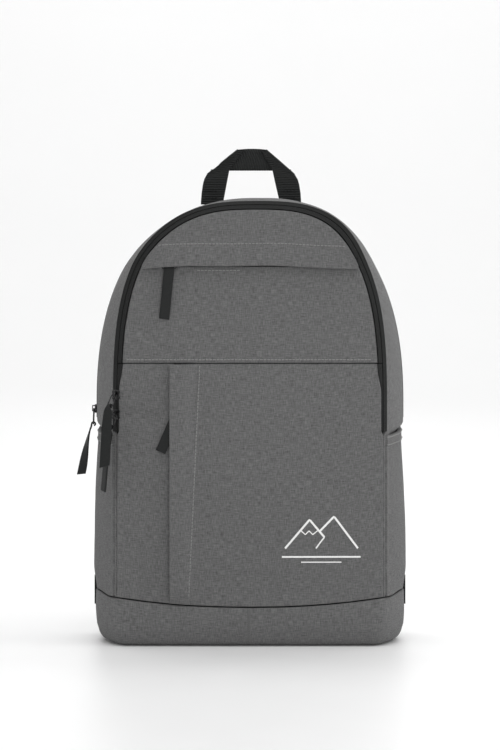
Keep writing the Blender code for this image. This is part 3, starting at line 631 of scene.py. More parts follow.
def joined_stitches(body, finish):
    """One mesh with all noted stitches of a body, each a short thread that dips in at both ends."""
    length, width = sizes().stitch_length, sizes().stitch_width
    points, faces, uv = [], [], []
    for place, along, out in STITCHES[body]:
        side = along.cross(out).normalized()
        first = len(points)
        for share, lift in ((-0.5, -0.35), (-0.28, 0.18), (0.28, 0.18), (0.5, -0.35)):
            middle = place + along * (share * length) + out * (lift * width)
            for k in range(5):
                turn = 2 * math.pi * k / 5
                points.append(middle + (side * math.cos(turn) + out * math.sin(turn)) * (width / 2))
                uv.append((turn * width / 2, share * length))
        for i in range(3):
            for k in range(5):
                a = first + i * 5 + k
                b = first + i * 5 + (k + 1) % 5
                faces.append((a, b, b + 5, a + 5))
        faces.append(tuple(first + k for k in reversed(range(5))))
        faces.append(tuple(first + 15 + k for k in range(5)))
    thing = finished_object(f"stitching_{body}", points, faces, uv, finish, 80)
    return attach(thing, body)


# ---------------------------------------------------------------- finishes


def put(tree, kind, links=None, **settings):
    """Add a node, set its options and fill its inputs with values or other sockets."""
    made = tree.nodes.new(kind)
    for key, value in settings.items():
        setattr(made, key, value)
    for key, value in (links or {}).items():
        fill(tree, made.inputs[key], value)
    return made


def fill(tree, socket, value):
    """Give a socket a plain value or a link."""
    if isinstance(value, bpy.types.NodeSocket):
        tree.links.new(value, socket)
    else:
        socket.default_value = value


def calc(tree, operation, first, second=0.0, third=0.0):
    """Math node; returns its output."""
    made = put(tree, "ShaderNodeMath", operation=operation)
    for socket, value in zip(made.inputs, (first, second, third)):
        fill(tree, socket, value)
    return made.outputs[0]


def blend_colour(tree, share, first, second):
    """Colour between two colours; returns the output."""
    made = put(tree, "ShaderNodeMix", data_type="RGBA")
    for index, value in ((0, share), (6, first), (7, second)):
        fill(tree, made.inputs[index], value)
    return made.outputs[2]


def stretched(tree, vector, x, y, z=1.0):
    """Vector scaled along each axis; returns the output."""
    made = put(tree, "ShaderNodeVectorMath", {0: vector, 1: (x, y, z)}, operation="MULTIPLY")
    return made.outputs[0]


def new_group(name, inputs, outputs):
    """Empty shader node group with named inputs and outputs."""
    tree = bpy.data.node_groups.new(name, "ShaderNodeTree")
    for title, kind, value in inputs:
        socket = tree.interface.new_socket(title, in_out="INPUT", socket_type=kind)
        if value is not None:
            socket.default_value = value
    for title in outputs:
        tree.interface.new_socket(title, in_out="OUTPUT", socket_type="NodeSocketFloat")
    start = tree.nodes.new("NodeGroupInput")
    end = tree.nodes.new("NodeGroupOutput")
    return tree, start, end


def weave_group():
    """Plain weave: threads that pass over and under each other, with uneven slubs and painted shade where the
    threads dip under.
    """
    name = "Plain Weave"
    if name in bpy.data.node_groups:
        return bpy.data.node_groups[name]
    tree, start, end = new_group(
        name, (("Vector", "NodeSocketVector", None), ("Pitch", "NodeSocketFloat", 0.0008)), ("Height", "Tone")
    )
    split = put(tree, "ShaderNodeSeparateXYZ", {0: start.outputs["Vector"]})
    u = calc(tree, "DIVIDE", split.outputs[0], start.outputs["Pitch"])
    v = calc(tree, "DIVIDE", split.outputs[1], start.outputs["Pitch"])
    warp = calc(tree, "ABSOLUTE", calc(tree, "SINE", calc(tree, "MULTIPLY", u, math.pi)))
    weft = calc(tree, "ABSOLUTE", calc(tree, "SINE", calc(tree, "MULTIPLY", v, math.pi)))
    cell = calc(tree, "ADD", calc(tree, "FLOOR", u), calc(tree, "FLOOR", v))
    over = calc(tree, "MODULO", calc(tree, "ABSOLUTE", cell), 2.0)
    under = calc(tree, "SUBTRACT", 1.0, over)
    height = calc(tree, "ADD", calc(tree, "MULTIPLY", warp, over), calc(tree, "MULTIPLY", weft, under))
    tree.links.new(height, end.inputs["Height"])
    streaks = None
    for x, y, seed in ((1300, 170, 0.0), (150, 1300, 3.0)):
        moved = put(tree, "ShaderNodeVectorMath",
                    {0: stretched(tree, start.outputs["Vector"], x, y), 1: (seed, seed, seed)},
                    operation="ADD")
        grain = put(tree, "ShaderNodeTexNoise", {"Vector": moved.outputs[0], "Scale": 1.0, "Detail": 2.0})
        streaks = grain.outputs[0] if streaks is None else calc(tree, "ADD", streaks, grain.outputs[0])
    tone = calc(tree, "MULTIPLY_ADD", streaks, 1.3, -0.8)
    # painted shade: the tone also darkens where the threads dip under each other and lightens on their crowns
    tone = calc(tree, "MULTIPLY_ADD", calc(tree, "SUBTRACT", height, 0.6), 0.35, tone)
    tree.links.new(calc(tree, "MINIMUM", calc(tree, "MAXIMUM", tone, 0.0), 1.0), end.inputs["Tone"])
    return tree


def mottle_group():
    """Slow and quick unevenness of a dyed surface."""
    name = "Mottle"
    if name in bpy.data.node_groups:
        return bpy.data.node_groups[name]
    tree, start, end = new_group(
        name, (("Vector", "NodeSocketVector", None), ("Patch", "NodeSocketFloat", 0.03)), ("Tone", "Fine")
    )
    size = calc(tree, "DIVIDE", 1.0, start.outputs["Patch"])
    slow = put(tree, "ShaderNodeTexNoise", {"Vector": start.outputs["Vector"], "Scale": size, "Detail": 3.0,
                                            "Roughness": 0.6})
    quick_size = calc(tree, "MULTIPLY", size, 14.0)
    quick = put(tree, "ShaderNodeTexNoise",
                {"Vector": start.outputs["Vector"], "Scale": quick_size, "Detail": 2.0})
    tree.links.new(slow.outputs[0], end.inputs["Tone"])
    tree.links.new(quick.outputs[0], end.inputs["Fine"])
    return tree


def rib_group():
    """Ribs across a woven band, with the fine lengthwise threads between them."""
    name = "Woven Ribs"
    if name in bpy.data.node_groups:
        return bpy.data.node_groups[name]
    tree, start, end = new_group(
        name,
        (("Vector", "NodeSocketVector", None), ("Rib Pitch", "NodeSocketFloat", 0.0024),
         ("Thread Pitch", "NodeSocketFloat", 0.0011)),
        ("Height", "Tone"),
    )
    split = put(tree, "ShaderNodeSeparateXYZ", {0: start.outputs["Vector"]})
    bent = put(tree, "ShaderNodeTexNoise", {"Vector": start.outputs["Vector"], "Scale": 160.0, "Detail": 1.0})
    shift = calc(tree, "MULTIPLY", calc(tree, "SUBTRACT", bent.outputs[0], 0.5), 0.55)
    v = calc(tree, "ADD", calc(tree, "DIVIDE", split.outputs[1], start.outputs["Rib Pitch"]), shift)
    ribs = calc(tree, "ABSOLUTE", calc(tree, "SINE", calc(tree, "MULTIPLY", v, math.pi)))
    u = calc(tree, "DIVIDE", split.outputs[0], start.outputs["Thread Pitch"])
    threads = calc(tree, "ABSOLUTE", calc(tree, "SINE", calc(tree, "MULTIPLY", u, math.pi)))
    height = calc(tree, "ADD", calc(tree, "MULTIPLY", ribs, 0.75), calc(tree, "MULTIPLY", threads, 0.25))
    tree.links.new(height, end.inputs["Height"])
    flecks = put(tree, "ShaderNodeTexNoise", {"Vector": stretched(tree, start.outputs["Vector"], 900, 420),
                                              "Scale": 1.0, "Detail": 1.0})
    # painted highlight and shade: the tone follows the rib height, so rib tops come out paler and the grooves
    # darker
    tone = calc(tree, "MULTIPLY", calc(tree, "POWER", height, 1.6), calc(tree, "ADD", flecks.outputs[0], 0.5))
    tree.links.new(calc(tree, "MINIMUM", tone, 1.0), end.inputs["Tone"])
    return tree


def cell_group():
    """Open knitted cells of spacer mesh."""
    name = "Spacer Mesh"
    if name in bpy.data.node_groups:
        return bpy.data.node_groups[name]
    tree, start, end = new_group(
        name, (("Vector", "NodeSocketVector", None), ("Pitch", "NodeSocketFloat", 0.0030)), ("Height", "Hole")
    )
    split = put(tree, "ShaderNodeSeparateXYZ", {0: start.outputs["Vector"]})
    u = calc(tree, "DIVIDE", split.outputs[0], start.outputs["Pitch"])
    v = calc(tree, "DIVIDE", split.outputs[1], calc(tree, "MULTIPLY", start.outputs["Pitch"], 0.866))
    odd = calc(tree, "MODULO", calc(tree, "ABSOLUTE", calc(tree, "FLOOR", v)), 2.0)
    u = calc(tree, "SUBTRACT", calc(tree, "FRACT", calc(tree, "MULTIPLY_ADD", odd, 0.5, u)), 0.5)
    v = calc(tree, "SUBTRACT", calc(tree, "FRACT", v), 0.5)
    away = calc(tree, "SQRT", calc(tree, "ADD", calc(tree, "MULTIPLY", u, u), calc(tree, "MULTIPLY", v, v)))
    hole = put(tree, "ShaderNodeMapRange", {"Value": away, "From Min": 0.40, "From Max": 0.26, "To Min": 0.0,
                                            "To Max": 1.0}, interpolation_type="SMOOTHSTEP")
    tree.links.new(hole.outputs[0], end.inputs["Hole"])
    tree.links.new(calc(tree, "SUBTRACT", 1.0, hole.outputs[0]), end.inputs["Height"])
    return tree


def scuff_group():
    """Worn patches and fine scratches on a hard surface."""
    name = "Scuffs"
    if name in bpy.data.node_groups:
        return bpy.data.node_groups[name]
    tree, start, end = new_group(
        name, (("Vector", "NodeSocketVector", None), ("Amount", "NodeSocketFloat", 0.5)), ("Wear", "Height")
    )
    patch = put(tree, "ShaderNodeTexNoise",
                {"Vector": start.outputs["Vector"], "Scale": 420.0, "Detail": 4.0})
    scratch = put(tree, "ShaderNodeTexNoise",
                  {"Vector": stretched(tree, start.outputs["Vector"], 2600, 300, 2600),
                   "Scale": 1.0, "Detail": 2.0})
    both = calc(tree, "MULTIPLY", patch.outputs[0], scratch.outputs[0])
    wear = put(tree, "ShaderNodeMapRange", {"Value": both, "From Min": 0.24, "From Max": 0.40})
    tree.links.new(calc(tree, "MULTIPLY", wear.outputs[0], start.outputs["Amount"]), end.inputs["Wear"])
    tree.links.new(both, end.inputs["Height"])
    return tree


def new_finish(name):
    """Material with an empty tree, its Principled shader and a surface coordinate node."""
    made = bpy.data.materials.new(name)
    made.use_nodes = True
    tree = made.node_tree
    shader = tree.nodes["Principled BSDF"]
    place = tree.nodes.new("ShaderNodeTexCoord")
    return made, tree, shader, place


def with_group(tree, group, vector, **values):
    """Place a node group and fill its inputs."""
    made = put(tree, "ShaderNodeGroup")
    made.node_tree = group
    fill(tree, made.inputs["Vector"], vector)
    for key, value in values.items():
        made.inputs[key.replace("_", " ")].default_value = value
    return made


def bump(tree, shader, height, distance):
    """Drive the shader's normal from a height."""
    made = put(tree, "ShaderNodeBump", {"Strength": 1.0, "Distance": distance, "Height": height})
    tree.links.new(made.outputs[0], shader.inputs["Normal"])


def tinted(colour, factor):
    """Colour scaled by a factor, with full alpha."""
    return (*(min(channel * factor, 1.0) for channel in colour), 1.0)


FINISHES = {}


def cloth_finish(name, colour, pitch, depth=0.00026, contrast=0.52):
    """Woven polyester: threads, slubs, faint dye patches and a soft sheen."""
    if name in FINISHES:
        return FINISHES[name]
    made, tree, shader, place = new_finish(name)
    weave = with_group(tree, weave_group(), place.outputs["UV"], Pitch=pitch)
    mottle = with_group(tree, mottle_group(), place.outputs["Object"], Patch=0.035)
    # the thread colour carries the real slubs and painted shade between the threads
    thread = blend_colour(tree, weave.outputs["Tone"],
                          tinted(colour, 1 - contrast), tinted(colour, 1 + contrast))
    patch = calc(tree, "MULTIPLY_ADD", mottle.outputs["Tone"], 0.8, -0.15)
    tree.links.new(
        blend_colour(tree, patch, thread, blend_colour(tree, 0.10, thread, tinted(colour, 1.6))),
        shader.inputs["Base Color"],
    )
    rough = calc(tree, "MULTIPLY_ADD", mottle.outputs["Fine"], 0.14, 0.76)
    tree.links.new(rough, shader.inputs["Roughness"])
    height = calc(tree, "MULTIPLY_ADD", mottle.outputs["Fine"], 0.5, weave.outputs["Height"])
    bump(tree, shader, height, depth)
    shader.inputs["Specular IOR Level"].default_value = 0.22
    shader.inputs["Sheen Weight"].default_value = 0.10
    shader.inputs["Sheen Roughness"].default_value = 0.55
    FINISHES[name] = made
    return made


def rib_finish(name, colour, rib, thread, depth=0.00045, light=2.6):
    """Ribbed black webbing, grosgrain or zip tape with rib tops painted paler and grooves darker, as painted
    highlight and shade.
    """
    if name in FINISHES:
        return FINISHES[name]
    made, tree, shader, place = new_finish(name)
    ribs = with_group(tree, rib_group(), place.outputs["UV"], Rib_Pitch=rib, Thread_Pitch=thread)
    mottle = with_group(tree, mottle_group(), place.outputs["Object"], Patch=0.012)
    # painted highlight and shade: rib tops get the paler colour, grooves the darker one
    base = blend_colour(tree, ribs.outputs["Tone"], tinted(colour, 0.55), tinted(colour, light))
    tree.links.new(
        blend_colour(tree, calc(tree, "MULTIPLY", mottle.outputs["Tone"], 0.5), base, tinted(colour, 1.1)),
        shader.inputs["Base Color"],
    )
    rough = calc(tree, "MULTIPLY_ADD", mottle.outputs["Fine"], 0.2, 0.52)
    tree.links.new(rough, shader.inputs["Roughness"])
    bump(tree, shader, calc(tree, "MULTIPLY_ADD", mottle.outputs["Fine"], 0.2, ribs.outputs["Height"]), depth)
    shader.inputs["Specular IOR Level"].default_value = 0.30
    shader.inputs["Sheen Weight"].default_value = 0.05
    FINISHES[name] = made
    return made


def mesh_finish(name, colour):
    """Spacer mesh whose open cells are painted dark, as painted shade inside the holes."""
    if name in FINISHES:
        return FINISHES[name]
    made, tree, shader, place = new_finish(name)
    cells = with_group(tree, cell_group(), place.outputs["UV"], Pitch=0.0030)
    mottle = with_group(tree, mottle_group(), place.outputs["Object"], Patch=0.02)
    # painted shade: the open cells are painted dark for the shade inside them
    base = blend_colour(tree, cells.outputs["Hole"], tinted(colour, 1.25), tinted(colour, 0.22))
    tree.links.new(
        blend_colour(tree, calc(tree, "MULTIPLY", mottle.outputs["Tone"], 0.35), base, tinted(colour, 0.8)),
        shader.inputs["Base Color"],
    )
    tree.links.new(calc(tree, "MULTIPLY_ADD", mottle.outputs["Fine"], 0.15, 0.78), shader.inputs["Roughness"])
    height = calc(tree, "MULTIPLY_ADD", mottle.outputs["Fine"], 0.2, cells.outputs["Height"])
    bump(tree, shader, height, 0.0007)
    shader.inputs["Sheen Weight"].default_value = 0.12
    FINISHES[name] = made
    return made


def hard_finish(name, colour, roughness, metallic, worn, amount):
    """Moulded plastic or painted metal with worn places and fine grain."""
    if name in FINISHES:
        return FINISHES[name]
    made, tree, shader, place = new_finish(name)
    scuffs = with_group(tree, scuff_group(), place.outputs["Object"], Amount=amount)
    tree.links.new(
        blend_colour(tree, scuffs.outputs["Wear"], tinted(colour, 1.0), (*worn, 1.0)),
        shader.inputs["Base Color"],
    )
    rough = calc(tree, "MULTIPLY_ADD", scuffs.outputs["Height"], 0.35, roughness - 0.08)
    tree.links.new(rough, shader.inputs["Roughness"])
    bump(tree, shader, scuffs.outputs["Height"], 0.00008)
    shader.inputs["Metallic"].default_value = metallic
    FINISHES[name] = made
    return made


def foam_finish(name, colour):
    """Fine closed-cell foam, with the hollow of each cell painted darker as painted shade."""
    if name in FINISHES:
        return FINISHES[name]
    made, tree, shader, place = new_finish(name)
    cells = put(tree, "ShaderNodeTexVoronoi", {"Vector": place.outputs["Object"], "Scale": 900.0})
    mottle = with_group(tree, mottle_group(), place.outputs["Object"], Patch=0.02)
    tree.links.new(
        # painted shade: the low centres of the cells are darker and their raised borders lighter
        blend_colour(tree, cells.outputs["Distance"], tinted(colour, 0.7), tinted(colour, 1.4)),
        shader.inputs["Base Color"],
    )
    tree.links.new(calc(tree, "MULTIPLY_ADD", mottle.outputs["Fine"], 0.1, 0.85), shader.inputs["Roughness"])
    bump(tree, shader, cells.outputs["Distance"], 0.0003)
    FINISHES[name] = made
    return made


def main_cloth():
    """Finish of the front, base and pockets."""
    return cloth_finish("grey_pack_cloth", colours().cloth, sizes().thread_pitch)


def gusset_cloth_painted_light():
    """Finish of the gussets: the main cloth painted a little lighter, as painted light on the sides."""
    return cloth_finish("grey_side_cloth_painted_light", colours().side_cloth, sizes().thread_pitch)


def zip_cloth():
    """Finish of the zip tapes."""
    return rib_finish("black_zip_tape", colours().zip_tape, 0.0016, 0.0012, 0.0003, 2.0)


def strap_webbing():
    """Finish of the handle and strap webbing."""
    return rib_finish("black_webbing", colours().webbing, sizes().rib_pitch, 0.0015, 0.0006, 2.9)


def ribbon_cloth():
    """Finish of the puller ribbons."""
    return rib_finish("black_grosgrain", colours().webbing, 0.0013, 0.0010, 0.0003, 2.2)


def sewing_thread():
    """Finish of the stitches on grey cloth."""
    return cloth_finish("grey_thread", colours().thread, 0.0005, 0.00006, 0.15)


def dark_thread():
    """Finish of the stitches on black webbing."""
    return cloth_finish("black_thread", tuple(c * 1.8 for c in colours().webbing), 0.0005, 0.00006, 0.2)


def lining_cloth():
    """Finish of the linings."""
    return cloth_finish("dark_lining", (0.055, 0.057, 0.059), 0.0006, 0.0001, 0.15)


def air_mesh():
    """Finish of the back pad and strap pads."""
    return mesh_finish("black_air_mesh", (0.030, 0.031, 0.032))


def slider_paint():
    """Finish of the sliders and loops."""
    return hard_finish("black_slider_paint", (0.022, 0.022, 0.023), 0.34, 0.85, (0.16, 0.16, 0.155), 0.6)


def buckle_plastic():
    """Finish of the ladder locks."""
    return hard_finish("black_moulded_plastic", (0.013, 0.013, 0.013), 0.42, 0.0, (0.04, 0.04, 0.04), 0.5)


# ---------------------------------------------------------------- stage


def lamp(name, place, aim, width, height, power):
    """Rectangular soft light aimed at a point."""
    data = bpy.data.lights.new(name, "AREA")
    data.shape = "RECTANGLE"
    data.size = width
    data.size_y = height
    data.energy = power
    thing = bpy.data.objects.new(name, data)
    thing.location = place
    thing.rotation_euler = (Vector(aim) - Vector(place)).to_track_quat("-Z", "Y").to_euler()
    bpy.context.scene.collection.objects.link(thing)


def build_stage():
    """Camera, pale sweep under and behind the bag, and soft studio light."""
    scene = bpy.context.scene
    data = bpy.data.cameras.new("camera")
    data.lens = CAMERA_LENS
    camera = bpy.data.objects.new("camera", data)
    camera.location = CAMERA_PLACE
    camera.rotation_euler = (math.pi / 2, 0, 0)
    scene.collection.objects.link(camera)
    scene.camera = camera
    bpy.ops.object.select_all(action="DESELECT")
    bpy.ops.mesh.primitive_plane_add(size=1.0, location=(0, 0, 0))
    floor = bpy.context.object
    floor.name = "studio_sweep"
    bpy.ops.object.mode_set(mode="EDIT")
    bpy.ops.transform.resize(value=(14.0, 8.0, 1.0))
    bpy.ops.mesh.select_all(action="DESELECT")
    bpy.ops.object.mode_set(mode="OBJECT")
    for edge in floor.data.edges:
        edge.select = all(floor.data.vertices[i].co.y > 3.9 for i in edge.vertices)
    bpy.ops.object.mode_set(mode="EDIT")
    bpy.ops.mesh.select_mode(type="EDGE")
    bpy.ops.mesh.extrude_edges_move(TRANSFORM_OT_translate={"value": (0, 0, 6.0)})
    bpy.ops.object.mode_set(mode="OBJECT")
    for edge in floor.data.edges:
        ends = [floor.data.vertices[i].co for i in edge.vertices]
        edge.select = all(p.y > 3.9 and p.z < 0.1 for p in ends)
    bpy.ops.object.mode_set(mode="EDIT")
    bpy.ops.mesh.bevel(offset=2.2, segments=24, affect="EDGES")
    bpy.ops.mesh.select_all(action="SELECT")
    bpy.ops.mesh.normals_make_consistent(inside=False)
    bpy.ops.object.mode_set(mode="OBJECT")
    floor.data.shade_smooth()
    made, tree, shader, place = new_finish("pale_floor")
    mottle = with_group(tree, mottle_group(), place.outputs["Object"], Patch=0.6)
    tree.links.new(
        blend_colour(tree, mottle.outputs["Tone"], (0.90, 0.90, 0.90, 1), (0.93, 0.93, 0.93, 1)),
        shader.inputs["Base Color"],
    )
    tree.links.new(calc(tree, "MULTIPLY_ADD", mottle.outputs["Fine"], 0.1, 0.38), shader.inputs["Roughness"])
    floor.data.materials.append(made)
    world = bpy.data.worlds.new("studio")
    world.use_nodes = True
    world.node_tree.nodes["Background"].inputs["Color"].default_value = (1.0, 1.0, 1.0, 1.0)
    world.node_tree.nodes["Background"].inputs["Strength"].default_value = 0.44
    scene.world = world
    scene.view_settings.view_transform = "Standard"
    lamp("right_softbox", (1.7, -0.35, 0.75), (0, 0, 0.22), 1.0, 1.5, 9)
    lamp("left_softbox", (-1.7, -0.5, 0.65), (0, 0, 0.22), 0.9, 1.4, 3.5)
    lamp("top_softbox", (0.2, -0.7, 2.0), (0, 0.1, 0.2), 1.6, 1.2, 12)
    lamp("front_softbox", (0.3, -2.6, 0.75), (0, 0, 0.20), 1.6, 1.4, 21)
    lamp("sweep_light", (0, 1.6, 3.4), (0, 3.0, 0.3), 5.0, 2.0, 68)
    lamp("back_softbox", (0.2, 2.2, 1.3), (0, 0, 0.25), 1.4, 1.4, 6)


# ---------------------------------------------------------------- front of the bag


def flap_lift(x, z):
    """How far the pocket's cover flap stands off the front; its stitched side and ends lie flat."""
    t = (SIDE_FLAP_RIGHT_X - x) / (SIDE_FLAP_RIGHT_X - SIDE_FLAP_LEFT_X)
    top = smooth((FOLD_Z - z + 0.0004) / 0.0080)
    foot = smooth((z - base_rim(x, FRONT_Y)) / 0.016)
    return FLAP_LIFT * smooth(t * 1.9) * (0.08 + 0.92 * top) * (0.30 + 0.70 * foot)


def row_heights(count):
    """Reference heights of the lower panels' rows, closer together where the zip ends."""
    low = BASE_RIM_FRONT_Z + SEAM_GAP
    out = marks(low, FOLD_Z - GAP, count)
    out += [ZIP_END_Z + step for step in (-0.0042, -0.0033, -0.0024, -0.0015)]
    out += [ZIP_END_Z + step for step in (-0.0006, 0.0003, 0.0012, 0.0024)]
    return sorted(out)


def lower_grid(left, right, columns, lift=None):
    """Grid over the standing front between two x functions of height."""
    base = BASE_RIM_FRONT_Z + SEAM_GAP
    grid = []
    for level in row_heights(96):
        row = []
        spread_x = marks(left(level), right(level), columns)
        for x in spread_x:
            rise = base_rim(x, FRONT_Y) + SEAM_GAP - base
            z = level + rise * (1 - smooth((level - base) / 0.080))
            edge = panel_edge(z) / panel_edge(level)
            x_here = x * edge if abs(x) > 0.10 else x
            row.append(Vector((x_here, front_y(x_here, z) - (lift(x_here, z) if lift else 0.0), z)))
        grid.append(row)
    return grid


def build_front_lower():
    """Standing part of the front: main panel with its pocket fold, side strip and zip between."""
    grid = lower_grid(lambda z: SIDE_FLAP_LEFT_X, panel_edge, 96, flap_lift)
    piece = cloth_piece("front_main_panel", grid, sizes().cloth, BEHIND, main_cloth(),
                        (0.0009, 0.0014, 0.0012, 0.0016), lower_relief)
    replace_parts(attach(piece, "shell"), "front_panel_lower", "side_pocket_flap")
    grid = lower_grid(lambda z: -panel_edge(z), lambda z: SIDE_TAPE_X[0] - GAP, 26)
    piece = cloth_piece("front_side_strip", grid, sizes().cloth, BEHIND, main_cloth(),
                        (0.0014, 0.0010, 0.0012, 0.0016), strip_relief)
    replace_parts(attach(piece, "shell"), "front_panel_side")
    grid = []
    for z in marks(base_rim(SIDE_TAPE_X[0], FRONT_Y) + SEAM_GAP, FOLD_Z - GAP, 90):
        xs = (SIDE_TAPE_X[0], -0.0701, -0.0687, -0.0682, -0.0680, -0.0678, -0.0673, -0.0659, SIDE_TAPE_X[1])
        dips = (0, 0, -0.0002, -0.0001, 0.0004, -0.0001, -0.0002, 0, 0)
        grid.append([Vector((x, front_y(x, z) + dip, z)) for x, dip in zip(xs, dips)])
    piece = cloth_piece("side_pocket_zip_tape", grid, 0.0011, BEHIND, zip_cloth(), (0, 0, 0, 0))
    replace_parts(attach(piece, "shell"), "side_pocket_zip")
    grid = []
    for z in marks(base_rim(SIDE_TAPE_X[0], FRONT_Y) + 0.003, FOLD_Z - 0.003, 60):
        grid.append([Vector((x, front_y(x, z) + 0.0022, z)) for x in (-0.0641, -0.0600, -0.0560, -0.0520)])
    piece = cloth_piece("side_pocket_facing", grid, 0.0010, BEHIND, lining_cloth(), (0, 0, 0, 0))
    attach(piece, "shell")
    seam = []
    for i in range(141):
        t = i / 140
        z = FOLD_Z - 0.0022 - (FOLD_Z - 0.0475) * t
        x = -0.0472 - 0.0104 * t
        p = Vector((x, front_y(x, z), z))
        seam.append(p + Vector((0, -flap_lift(x, z) - lower_relief(p) - 0.0001, 0)))
    stitch_row("shell", seam, Vector((0, -1, 0)))


def build_front_upper():
    """Fold-down front panel above the seam."""
    grid = []
    for z in marks(FOLD_Z + GAP, FLAP_EDGE_Z - 0.0006, 42):
        row = []
        edge = arch_half(z, FRONT_HALF_WIDTH - PANEL_INSET, FRONT_TOP_Z - PANEL_INSET, FRONT_POWER)
        for x in marks(-edge, edge, 110):
            row.append(Vector((x, front_y(x, z), z)))
        grid.append(row)
    piece = cloth_piece("front_pocket_panel", grid, sizes().cloth, BEHIND, main_cloth(),
                        (0.0014, 0.0014, 0.0012, 0), upper_relief)
    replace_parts(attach(piece, "front_flap"), "front_panel_upper")
    for z, start, end in ((FOLD_Z + 0.0034, -0.1165, 0.1165), (FLAP_EDGE_Z - 0.0040, -0.0500, -0.0080)):
        line = []
        for i in range(141):
            x = start + (end - start) * i / 140
            p = Vector((x, front_y(x, z), z))
            line.append(p - Vector((0, upper_relief(p) + 0.0001, 0)))
        stitch_row("front_flap", line, Vector((0, -1, 0)))
    for name, sides, start, end, level in (
        ("fold_gusset_lower", ("shell", "front_half"),
         (0, FRONT_Y, 0.2560), (0, FRONT_Y, 0.2700), 0.0030),
        ("fold_gusset_upper", ("front_half", "front_flap"),
         (0, FRONT_Y, 0.2630), (0, FRONT_Y, 0.2780), 0.0048),
    ):
        grid = []
        for z in marks(0.2520, 0.2820, 22):
            row = [Vector((x, front_y(x, z) + level, z)) for x in marks(-0.1180, 0.1180, 40)]
            grid.append(row)
        piece = cloth_piece(name, grid, 0.0008, BEHIND, lining_cloth(), (0, 0, 0, 0))
        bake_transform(piece)


def cap_surface(x, share):
    """Point of the cap over the top pocket zip at a share of the way from its free edge to the zip seam."""
    half = FRONT_HALF_WIDTH - PANEL_INSET
    top = FRONT_TOP_Z - PANEL_INSET
    low = FLAP_EDGE_Z - 0.0035 * ((x + 0.010) / 0.110) ** 2 + 0.0004 * math.sin(x * 71)
    z = low + (arch_height(x, half, top, FRONT_POWER) - low) * share
    settled = 1 - 0.12 * math.exp(-(((x - 0.015) / 0.055) ** 2))
    lift = (FLAP_LIFT - 0.0002) * settled * (1 - smooth((z - TOP_TAPE_TOP_Z - 0.001) / 0.022))
    return Vector((x, front_y(x, z) - lift, z))


def cap_relief(p):
    """Relief of the cap, flat along its seams."""
    half = FRONT_HALF_WIDTH - PANEL_INSET
    high = arch_height(p.x, half, FRONT_TOP_Z - PANEL_INSET, FRONT_POWER)
    fade = smooth((high - p.z) / 0.012) * smooth((p.z - FLAP_EDGE_Z + 0.004) / 0.010)
    return rumple(p, 8, 0.9) * fade + puckers(p.x, high - p.z, 9, 0.00022)


def build_top_cap():
    """Cap panel over the top pocket zip, with the zip it hides."""
    half = FRONT_HALF_WIDTH - PANEL_INSET
    reach = arch_half(FLAP_EDGE_Z, half, FRONT_TOP_Z - PANEL_INSET, FRONT_POWER) - 0.0002
    shares = marks(0.0, 0.054, 26)
    grid = []
    for share in shares:
        row = []
        for c in range(141):
            x = reach * math.sin(math.pi * (c / 140 - 0.5))
            row.append(cap_surface(x, share / shares[-1]))
        grid.append(row)
    piece = cloth_piece("top_pocket_cap", grid, 0.0014, BEHIND, main_cloth(),
                        (0, 0, 0.0008, 0.0014), cap_relief)
    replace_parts(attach(piece, "front_flap"), "top_pocket_flap")
    line = []
    for i in range(161):
        x = -0.1010 + 0.2020 * i / 160
        bottom, high = cap_surface(x, 0.0), cap_surface(x, 1.0)
        share = 0.0212 / max(high.z - bottom.z, 0.001)
        if share < 0.93:
            p = cap_surface(x, share)
            line.append(lean(p) - Vector((0, cap_relief(p) + 0.0001, 0)))
    stitch_row("front_flap", line, Vector((0, -1, 0)))
    grid = []
    for c in marks(-reach + 0.0005, reach - 0.0005, 110):
        row = []
        for z, dip in ((FLAP_EDGE_Z, 0), (0.3600, 0), (0.3615, -0.0002), (0.3623, 0.0004), (0.3631, -0.0002),
                       (0.3646, 0), (TOP_TAPE_TOP_Z, 0)):
            row.append(Vector((c, front_y(c, z) + dip, z)))
        grid.append(row)
    piece = cloth_piece("top_pocket_zip_tape", grid, 0.0011, BEHIND, zip_cloth(), (0, 0, 0, 0))
    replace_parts(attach(piece, "front_flap"), "top_pocket_zip")


# ---------------------------------------------------------------- main zip and gussets


def zip_point(x, z, offset, raise_by):
    """Point of the sloping zip tape at an offset from the zip line."""
    return Vector((x, FRONT_Y + (offset + TAPE_HALF) * ZIP_SLOPE - raise_by, z))


def tape_profile(offset):
    """Rise of a zip tape towards its coil."""
    return 0.00012 * smooth(1 - abs(offset) / 0.0024)


